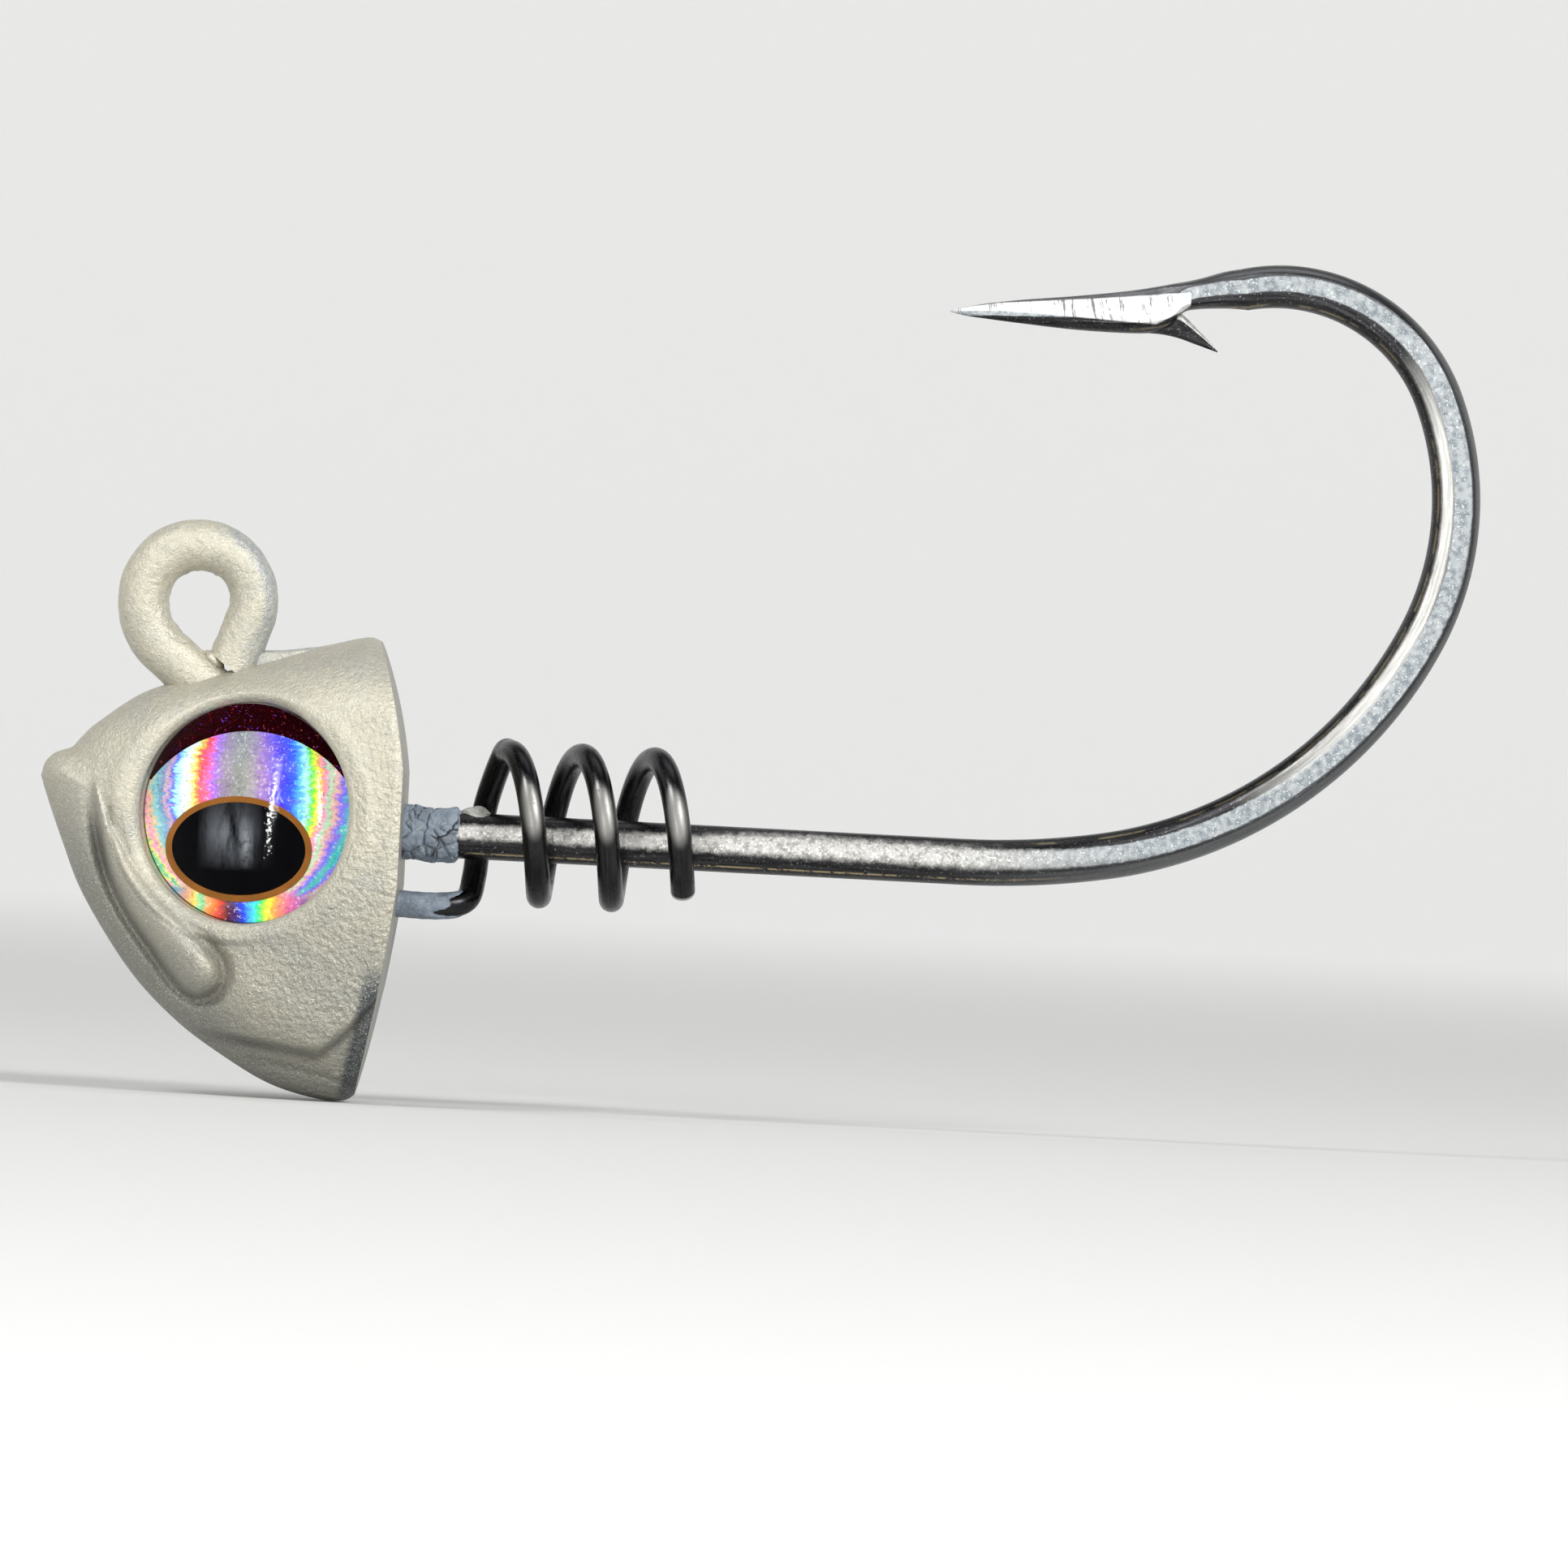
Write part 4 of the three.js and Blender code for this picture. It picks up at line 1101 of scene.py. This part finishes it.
class JIG_OT_hook(bpy.types.Operator):
    """Draws the hook: shank, forged bend, ground point and barb"""
    bl_idname = "jig.hook"
    bl_label = "Hook"

    def execute(self, context):
        wire = measured(context.scene.jig_wire)
        pen, bare = bend_pen(wire)
        finish = tinned_steel("tinned_steel")
        count = len(pen.stations)
        share = np.clip((np.arange(count) - bare) / (count - bare), 0, 1)
        radius = wire.diameter / 2
        forged = step_up(share, 0.0, 0.22)
        height = radius + np.sin(np.pi * share) * (wire.spread / 2 - radius) - 0.09 * share
        clip = radius * 1.02 + (wire.forged / 2 - radius * 1.02) * forged
        edges = smooth_line(POINT_EDGES, 170)[1:]
        reach = edges[:, 0].copy()
        edges[:, 0] *= wire.point
        heading = 180 + (pen.at[2] - 180) * (1 - step_up(reach, 0.0, 0.14))
        stations, tip_height = blade_stations(pen.at, edges, heading)
        taper = np.clip((1.0 - reach) * 1.45 + 0.03, 0, 1)
        tip_clip = wire.forged / 2 * taper * (1 - 0.12 * step_up(reach, 0.1, 0.35))
        sides = 96
        all_heights = np.r_[height, tip_height]
        points, faces, facts = wire_skin(
            np.vstack([pen.stations, stations]), all_heights,
            np.r_[np.full(count, radius), radius * taper], sides, np.r_[clip, tip_clip],
            np.r_[np.zeros(count), 0.30 * step_up(reach, 0.12, 0.3)])
        facts = steel_facts(
            points, facts, np.repeat(all_heights, sides), wire.shank_end - SHANK_START)
        points[:, 1] += 0.006 * grain(points, 1.4, 2.0)
        add_piece("hook_wire", points, faces, finish, "hook", "hook_steel", facts, sharp=24.0)
        self.add_barb(pen.at, finish)
        return {"FINISHED"}

    @staticmethod
    def add_barb(end, finish):
        """A sliver cut up from the point's underside."""
        barb = smooth_line(BARB_EDGES, 40)[::-1]
        thin = 0.45 * (1 - 0.86 * np.linspace(1, 0, 40) ** 2)
        stations, height = blade_stations(end, barb)
        points, faces, facts = wire_skin(stations, height, thin, 32, thin * 0.8)
        facts["lift"] = facts["rise"] * 0.2
        facts["strip"] = 3.0 - 2.8 * step_up(-facts["rise"], 0.36, 0.50)
        add_piece("hook_barb", points, faces, finish, "hook", "hook_steel", facts, sharp=20.0)


# ---- collar, web and stray paint

WEB_TOP = [(1.7, -2.7), (2.35, -2.06), (2.9, -1.93), (3.8, -1.86), (4.8, -1.70), (5.6, -1.55)]


def crusted_sleeve(start, end, radius, crust, seed, sides, rings):
    """Rings along X whose radius wanders as broken, lifted flakes do."""
    x = np.linspace(start, end, rings)
    angle = 2 * np.pi * np.arange(sides) / sides
    xs, angles = np.meshgrid(x, angle, indexing="ij")
    skin = np.stack([xs, np.cos(angles) * radius, np.sin(angles) * radius], -1).reshape(-1, 3)
    rng = np.random.default_rng(seed)
    cells = 46
    middles = np.c_[rng.uniform(start, end, cells), rng.uniform(0, 2 * np.pi, cells)]
    places = np.c_[middles[:, 0], np.cos(middles[:, 1]) * radius, np.sin(middles[:, 1]) * radius]
    lift = rng.uniform(-0.4, 1.0, cells)
    apart = np.linalg.norm(skin[:, None, :] - places[None, :, :], axis=2)
    order = np.argsort(apart, axis=1)
    first = np.take_along_axis(apart, order[:, :1], 1)[:, 0]
    second = np.take_along_axis(apart, order[:, 1:2], 1)[:, 0]
    crack = 1 - step_up(second - first, 0.0, 0.09)
    flake = lift[order[:, 0]] * 0.6
    grains = 0.6 * grain(skin, 1.8, seed) + 0.35 * grain(skin, 5.0, seed)
    return skin, crust * (flake + grains - 1.1 * crack)


class JIG_OT_collar(bpy.types.Operator):
    """Adds the crusted collar, the cast web and the paint that strayed on to the wires"""
    bl_idname = "jig.collar"
    bl_label = "Collar and stray paint"

    def execute(self, context):
        scene = context.scene
        head, wire, collar = (
            measured(group) for group in (scene.jig_head, scene.jig_wire, scene.jig_collar))
        coat = overspray_paint("overspray_paint")
        start, end = head.back - collar.buried, head.back + collar.length
        sides, rings = 120, 90
        skin, rough = crusted_sleeve(start, end, collar.radius, collar.crust, 5, sides, rings)
        share = np.repeat(np.linspace(0, 1, rings), sides)
        angle = np.tile(2 * np.pi * np.arange(sides) / sides, rings)
        ragged = 0.35 * np.sin(angle * 3 + 1.0) * 0.5 + 0.25 * np.sin(angle * 7) * 0.5
        close = 1 - 0.20 * step_up(share + ragged * 0.12, 0.93, 1.02)
        lumps = 0.11 * grain(skin, 0.75, 9.0)
        scale = (collar.radius + rough + lumps) * close / collar.radius
        skin = skin * np.c_[np.ones(len(skin)), scale, scale]
        skin[:, 0] += step_up(share, 0.8, 1.0) * ragged * 0.35
        skin[:, 2] -= wire.drop
        add_piece("collar", skin, tube_faces(rings, sides), coat, "head", "painted_lead",
                  sharp=60.0)
        self.add_web(collar.web)
        self.add_chip(head, wire, collar)
        return {"FINISHED"}

    @staticmethod
    def add_web(half):
        """Thin cast web behind the ring's tail, with a rounded top."""
        top = smooth_line(WEB_TOP, 60)
        rows = []
        for x, z in top:
            for turn in np.linspace(-90, 90, 17):
                out, up = math.sin(math.radians(turn)), math.cos(math.radians(turn))
                rows.append((x, half * out, z - 0.18 + 0.18 * up))
            rows.append((x, half, z - 1.3))
            rows.append((x, -half, z - 1.3))
        points = np.array(rows)
        points[:, 2] += 0.03 * grain(points, 2.0, 4.0)
        add_piece("web", points, tube_faces(len(top), len(rows) // len(top)),
                  pearl_paint("pearl_paint_web", cool=0.55), "head", "painted_lead")

    @staticmethod
    def add_chip(head, wire, collar):
        """A flake of paint that stands up from the top of the shank."""
        columns, rows = 40, 22
        points = []
        for under in (0.07, 0.0):
            for i in range(columns):
                u = i / (columns - 1)
                for j in range(rows):
                    v = 2 * j / (rows - 1) - 1
                    y = v * 0.52 * (1 - 0.75 * abs(2 * u - 1) ** 3)
                    on_wire = math.sqrt(max(0, (wire.diameter / 2) ** 2 - y * y))
                    lift = 0.30 * math.sin(math.pi * min(1, u * 1.15)) * (1 - v * v)
                    x = head.back + 2.35 + collar.flake * u + 0.10 * math.sin(5 * v + 2 * u)
                    wobble = 0.06 * noise.noise(Vector((x * 2.2, y * 2.2, 3.0)))
                    points.append((x, y, -wire.drop + on_wire + lift + wobble - under))
        block = columns * rows
        faces = []
        for i in range(columns - 1):
            for j in range(rows - 1):
                a = i * rows + j
                faces.append([a, a + 1, a + rows + 1, a + rows])
                faces.append([block + a, block + a + rows, block + a + rows + 1, block + a + 1])
        border = ([i * rows for i in range(columns)]
                  + [(columns - 1) * rows + j for j in range(1, rows)]
                  + [i * rows + rows - 1 for i in range(columns - 2, -1, -1)]
                  + [j for j in range(rows - 2, 0, -1)])
        for a, b in zip(border, border[1:] + border[:1]):
            faces.append([a, b, block + b, block + a])
        add_piece("paint_flake", points, faces, pearl_paint("pearl_paint_flake", cool=0.8), "head",
                  "painted_lead")


# ---- screw lock

def spring_route(coil, head, wire):
    """Leg under the shank, up behind it, then the coil, as one smooth curve."""
    leg_z = -wire.drop - coil.leg_drop
    axis_z = -wire.drop + coil.rise
    rise_x = coil.start - coil.pitch / 2 + 0.15
    leg = [
        (head.back - 2.0, 0, leg_z), (head.back, 0, leg_z), (rise_x - 1.1, 0.05, leg_z),
        (rise_x - 0.15, 0.45, leg_z + 0.3), (rise_x + 0.1, 1.35, leg_z + 1.25),
        (rise_x + 0.2, coil.radius * 0.78, axis_z - 0.9),
        (rise_x + 0.45, coil.radius * 0.86, axis_z + 0.9)]
    steps = round(coil.turns * 20)
    turns = coil.turns * np.arange(-1, steps + 1) / steps
    angle = 2 * np.pi * turns
    side = -coil.radius * np.sin(angle)
    lean = math.tan(math.radians(coil.lean))
    helix = np.c_[coil.start + coil.pitch * turns - side * lean, side,
                  axis_z + coil.radius * np.cos(angle)]
    return evened(smooth_line(np.vstack([leg, helix]), 2400), 620)


def round_wire(route, radius, sides):
    """Rings of points round a route in space, without twist."""
    tangent = np.gradient(route, axis=0)
    tangent /= np.linalg.norm(tangent, axis=1)[:, None]
    normal = np.zeros_like(route)
    side = np.cross(tangent[0], (0, 1, 0))
    for i, forward in enumerate(tangent):
        side = side - forward * (side @ forward)
        side /= np.linalg.norm(side)
        normal[i] = side
    across = np.cross(tangent, normal)
    angle = 2 * np.pi * np.arange(sides) / sides
    ring = (np.cos(angle)[None, :, None] * normal[:, None, :]
            + np.sin(angle)[None, :, None] * across[:, None, :])
    points = route[:, None, :] + ring * radius[:, :, None]
    run = np.r_[0, np.cumsum(np.linalg.norm(np.diff(route, axis=0), axis=1))]
    facts = {"along": np.repeat(run, sides), "around": np.tile(np.sin(angle), len(route))}
    return points.reshape(-1, 3), tube_faces(len(route), sides), facts


class JIG_OT_screw_lock(bpy.types.Operator):
    """Winds the screw lock and lays the paint on its leg"""
    bl_idname = "jig.screw_lock"
    bl_label = "Screw lock"

    def execute(self, context):
        scene = context.scene
        coil, head, wire = (
            measured(group) for group in (scene.jig_coil, scene.jig_head, scene.jig_wire))
        route = spring_route(coil, head, wire)
        sides = 40
        end = route[-1] + (route[-1] - route[-2]) * 0.02
        radii = np.full((len(route) + 1, sides), coil.wire / 2)
        radii[-1] *= 0.94
        points, faces, facts = round_wire(np.vstack([route, end]), radii, sides)
        tip = facts["along"].max()
        facts["cut"] = step_up(facts["along"], tip - 0.14, tip - 0.06)
        add_piece("screw_lock_wire", points, faces, spring_steel("spring_steel"), "screw_lock",
                  "spring_steel", facts, sharp=40.0)
        painted = route[route[:, 0] < head.back + 2.75]
        painted = painted[:np.argmax(painted[:, 2] > painted[0, 2] + 0.5) or len(painted)]
        share = np.linspace(0, 1, len(painted))[:, None]
        angle = (2 * np.pi * np.arange(sides) / sides)[None, :]
        worn = 0.80 + 0.10 * np.sin(angle * 2 + 0.8) + 0.05 * np.sin(angle * 5)
        thick = 0.05 * (1 - step_up(share, worn - 0.03, worn + 0.03))
        thick = thick - 0.02 * step_up(share, worn, worn + 0.05)
        lumps = 0.012 * np.sin(angle * 3 + share * 40) * np.sin(share * 23)
        skin, quads, _ = round_wire(painted, coil.wire / 2 + thick + lumps * (share < 0.8), sides)
        add_piece("leg_paint", skin, quads, overspray_paint("overspray_leg", 0.0), "screw_lock",
                  "painted_lead", sharp=50.0)
        return {"FINISHED"}


# ---- eyes

IRIS = ((-0.36, -1.48), (3.10, 2.14))
PUPIL = ((-0.36, -1.46), (2.82, 1.88))
SHADE_CUT = np.array(((0.05, -1.77), (5.2, 5.09)))
DOME_SIDES = 128


class EyeSeat:
    """Places flat art and turned discs on one cheek. side is -1 for the left eye."""

    def __init__(self, head, side):
        yaw = math.radians(head.yaw)
        self.side = side
        self.across = np.array([math.cos(yaw), side * math.sin(yaw), 0])
        self.up = np.array([0, 0, 1.0])
        self.outward = np.array([-math.sin(yaw), side * math.cos(yaw), 0])
        self.centre = np.array([head.eye_x, side * head.cheek, -head.eye_drop])

    def place(self, across, up, out):
        across, up, out = np.broadcast_arrays(across, up, out)
        return (self.centre + across[..., None] * self.across + up[..., None] * self.up
                + out[..., None] * self.outward).reshape(-1, 3)

    def faces(self, quads):
        return [face if self.side < 0 else face[::-1] for face in quads]


def turned(seat, profile, sides=DOME_SIDES):
    """A body of revolution about the eye's axis, from (radius, height) pairs."""
    angle = 2 * np.pi * np.arange(sides) / sides
    profile = np.array(profile)
    points = seat.place(
        profile[:, :1] * np.cos(angle)[None, :], profile[:, :1] * np.sin(angle)[None, :],
        profile[:, 1:] * np.ones(sides)[None, :])
    return points, seat.faces([face[::-1] for face in tube_faces(len(profile), sides)])


def disc_profile(radius, base, thickness, round_edge=0.04):
    """Half the section of a flat disc with rounded edges."""
    top = base + thickness
    return [(0.02, base), (radius - round_edge, base), (radius, base + round_edge),
            (radius, top - round_edge), (radius - round_edge, top), (radius * 0.5, top),
            (0.02, top)]


def printed_shape(seat, outline, base, thickness):
    """A thin layer of ink with any outline of (across, up) pairs, as a closed slab."""
    outline = np.array(outline)
    count = len(outline)
    low = seat.place(outline[:, 0], outline[:, 1], np.full(count, base))
    high = seat.place(outline[:, 0], outline[:, 1], np.full(count, base + thickness))
    faces = [list(range(count)), list(range(2 * count - 1, count - 1, -1))]
    for k in range(count):
        n = (k + 1) % count
        faces.append([k, k + count, n + count, n])
    return np.vstack([low, high]), seat.faces([face[::-1] for face in faces])


def ellipse(centre, radii, count=120, start=0.0, stop=360.0):
    """Points on an ellipse, or on the part of it between two angles."""
    angle = np.radians(np.linspace(start, stop, count, endpoint=stop - start < 360))
    return np.c_[centre[0] + radii[0] * np.cos(angle), centre[1] + radii[1] * np.sin(angle)]


def shade_outline(rim):
    """The print over the top of the foil: the eye's rim above, a wider arc below."""
    centre, radii = SHADE_CUT
    outer = ellipse((0, 0), (rim, rim), 160, 15.0, 165.0)
    outer = outer[(((outer - centre) / radii) ** 2).sum(1) > 1]
    x = np.linspace(outer[-1][0], outer[0][0], 100)[1:-1]
    drop = 1 - ((x - centre[0]) / radii[0]) ** 2
    return np.vstack([outer, np.c_[x, centre[1] + radii[1] * np.sqrt(np.maximum(0, drop))]])


def dome_profile(eye, base):
    """Half the section of the clear dome: flat below, domed above."""
    radius, foot = eye.diameter / 2, 0.05
    profile = [(0.02, base), (radius - foot, base), (radius, base + foot)]
    for away in np.linspace(1, 0.005, 40):
        lift = eye.edge + (eye.crown - eye.edge) * (1 - away ** 2.4)
        profile.append((radius * away, base + lift))
    return profile


class JIG_OT_eyes(bpy.types.Operator):
    """Stacks both eyes: adhesive, foil, printed art and the clear dome"""
    bl_idname = "jig.eyes"
    bl_label = "Eyes"

    def execute(self, context):
        head, eye = measured(context.scene.jig_head), measured(context.scene.jig_eye)
        looks = {
            "adhesive": adhesive_foam("eye_adhesive"),
            "foil": rainbow_foil("rainbow_foil"),
            "iris": printed_ink("iris_ink", tone("iris")),
            "pupil": printed_ink("pupil_ink", tone("pupil"), painted_reflection=0.9),
            "shade": printed_ink("shade_ink", tone("shade"), glitter=0.7),
            "dome": clear_dome("clear_dome"),
        }
        for name, side in (("left", -1), ("right", 1)):
            self.one_eye(EyeSeat(head, side), eye, name, looks)
        return {"FINISHED"}

    @staticmethod
    def one_eye(seat, eye, name, looks):
        radius = eye.diameter / 2
        adhesive_base = -eye.depth + eye.gap
        foil_base = adhesive_base + eye.adhesive + eye.gap
        art_base = foil_base + eye.foil
        dome = dome_profile(eye, art_base + eye.gap)

        def add(kind, part, shape, **more):
            points, faces = shape
            add_piece(f"eye_{kind}_{name}", points, faces, looks[kind], f"eye_{part}_{name}",
                      f"eye_{part}", **more)

        pad = disc_profile(radius, adhesive_base, eye.adhesive)
        add("adhesive", "adhesive", turned(seat, pad))
        disc = disc_profile(radius - 0.01, foil_base, eye.foil, 0.02)
        add("foil", "foil", turned(seat, disc))
        for kind, outline, layer in (
                ("iris", ellipse(*IRIS), 1), ("pupil", ellipse(*PUPIL), 2),
                ("shade", shade_outline(radius - 0.005), 0)):
            add(kind, "foil", printed_shape(seat, outline, art_base + layer * eye.ink, eye.ink))
        skin = np.repeat(np.arange(len(dome)) > 2, DOME_SIDES).astype(float)
        add("dome", "dome", turned(seat, dome), attributes={"skin": skin}, sharp=30.0)


# ---- stage

LAMP_AIM = (12.0, 0.0, -6.0)
LAMPS = [
    ("right_key", (480, -560, 430), 300, 300, 5.2),
    ("left_key", (-380, -430, 700), 260, 260, 3.3),
    ("near_strip", (-84, -700, 35), 22, 290, 0.9),
    ("far_strip", (-262, -680, 20), 26, 360, 1.0),
    ("top", (60, 200, 1000), 700, 420, 1.3),
]
SKY_TINT, SKY_STRENGTH = (0.93, 0.96, 1.0, 1.0), 0.12


class JIG_OT_stage(bpy.types.Operator):
    """Sets the pale floor, the soft lights and the camera"""
    bl_idname = "jig.stage"
    bl_label = "Stage"

    def execute(self, context):
        scene = context.scene
        stage = measured(scene.jig_stage)
        self.add_floor(stage)
        self.add_camera(scene, stage)
        self.add_lights()
        world = bpy.data.worlds.new("studio")
        world.use_nodes = True
        background = world.node_tree.nodes["Background"]
        background.inputs["Color"].default_value = SKY_TINT
        background.inputs["Strength"].default_value = SKY_STRENGTH
        scene.world = world
        scene.view_settings.view_transform = "Standard"
        return {"FINISHED"}

    @staticmethod
    def add_floor(stage):
        """A round sheet of paper that curves up into a wall, the same on every side."""
        sides, rows = 96, []
        floor = [(r, 0.0) for r in np.linspace(1, stage.floor_radius, 14)]
        rise = [(stage.floor_radius + stage.cove * math.sin(a), stage.cove * (1 - math.cos(a)))
                for a in np.radians(np.linspace(6, 84, 14))]
        wall = (stage.floor_radius + stage.cove + 20, stage.wall)
        for radius, height in [*floor, *rise, wall]:
            for k in range(sides):
                angle = 2 * math.pi * k / sides
                rows.append((radius * math.cos(angle) + stage.look_x, radius * math.sin(angle),
                             FLOOR_Z - 0.02 + height))
        count = len(rows) // sides
        faces = tube_faces(count, sides, capped=False)
        faces.append(list(range(sides - 1, -1, -1)))
        paper = add_piece("studio_floor", rows, faces, studio_paper("studio_paper"), None, None)

    @staticmethod
    def add_camera(scene, stage):
        data = bpy.data.cameras.new("camera")
        data.sensor_width = 36.0
        data.lens = data.sensor_width * stage.distance / stage.width
        data.clip_start, data.clip_end = 0.01, 10.0
        camera = bpy.data.objects.new("camera", data)
        camera.location = Vector((stage.look_x, -stage.distance, stage.look_z)) * MM
        camera.rotation_euler = (math.radians(90), math.radians(stage.roll), 0)
        scene.collection.objects.link(camera)
        scene.camera = camera

    @staticmethod
    def add_lights():
        """Two large soft keys, two tall strips for the steel and a soft light above."""
        aim = Vector(LAMP_AIM) * MM
        for name, place, width, height, power in LAMPS:
            data = bpy.data.lights.new(name, "AREA")
            data.shape = "RECTANGLE"
            data.size, data.size_y = width * MM, height * MM
            data.energy = power
            lamp = bpy.data.objects.new(name, data)
            lamp.location = Vector(place) * MM
            lamp.rotation_euler = (aim - lamp.location).to_track_quat("-Z", "Y").to_euler()
            bpy.context.scene.collection.objects.link(lamp)


# ---- panel and registration

OPERATORS = [
    JIG_OT_head, JIG_OT_line_tie, JIG_OT_hook, JIG_OT_collar, JIG_OT_screw_lock, JIG_OT_eyes,
    JIG_OT_stage]


class JIG_PT_panel(bpy.types.Panel):
    """Lists the jig head's pieces and their sizes"""
    bl_label = "Jig head"
    bl_idname = "JIG_PT_panel"
    bl_space_type = "VIEW_3D"
    bl_region_type = "UI"
    bl_category = "Jig head"

    def draw(self, context):
        for operator in OPERATORS:
            self.layout.operator(operator.bl_idname)
        for name, group in GROUPS.items():
            box = self.layout.box()
            for key in group.__annotations__:
                box.prop(getattr(context.scene, name), key)


CLASSES = [*GROUPS.values(), *OPERATORS, JIG_PT_panel]


def register():
    for cls in CLASSES:
        bpy.utils.register_class(cls)
    for name, group in GROUPS.items():
        setattr(bpy.types.Scene, name, PointerProperty(type=group))


def unregister():
    for name in GROUPS:
        delattr(bpy.types.Scene, name)
    for cls in reversed(CLASSES):
        bpy.utils.unregister_class(cls)


def main():
    register()
    bpy.ops.jig.head()
    bpy.ops.jig.line_tie()
    bpy.ops.jig.hook()
    bpy.ops.jig.collar()
    bpy.ops.jig.screw_lock()
    bpy.ops.jig.eyes()
    bpy.ops.jig.stage()


if __name__ == "__main__":
    main()
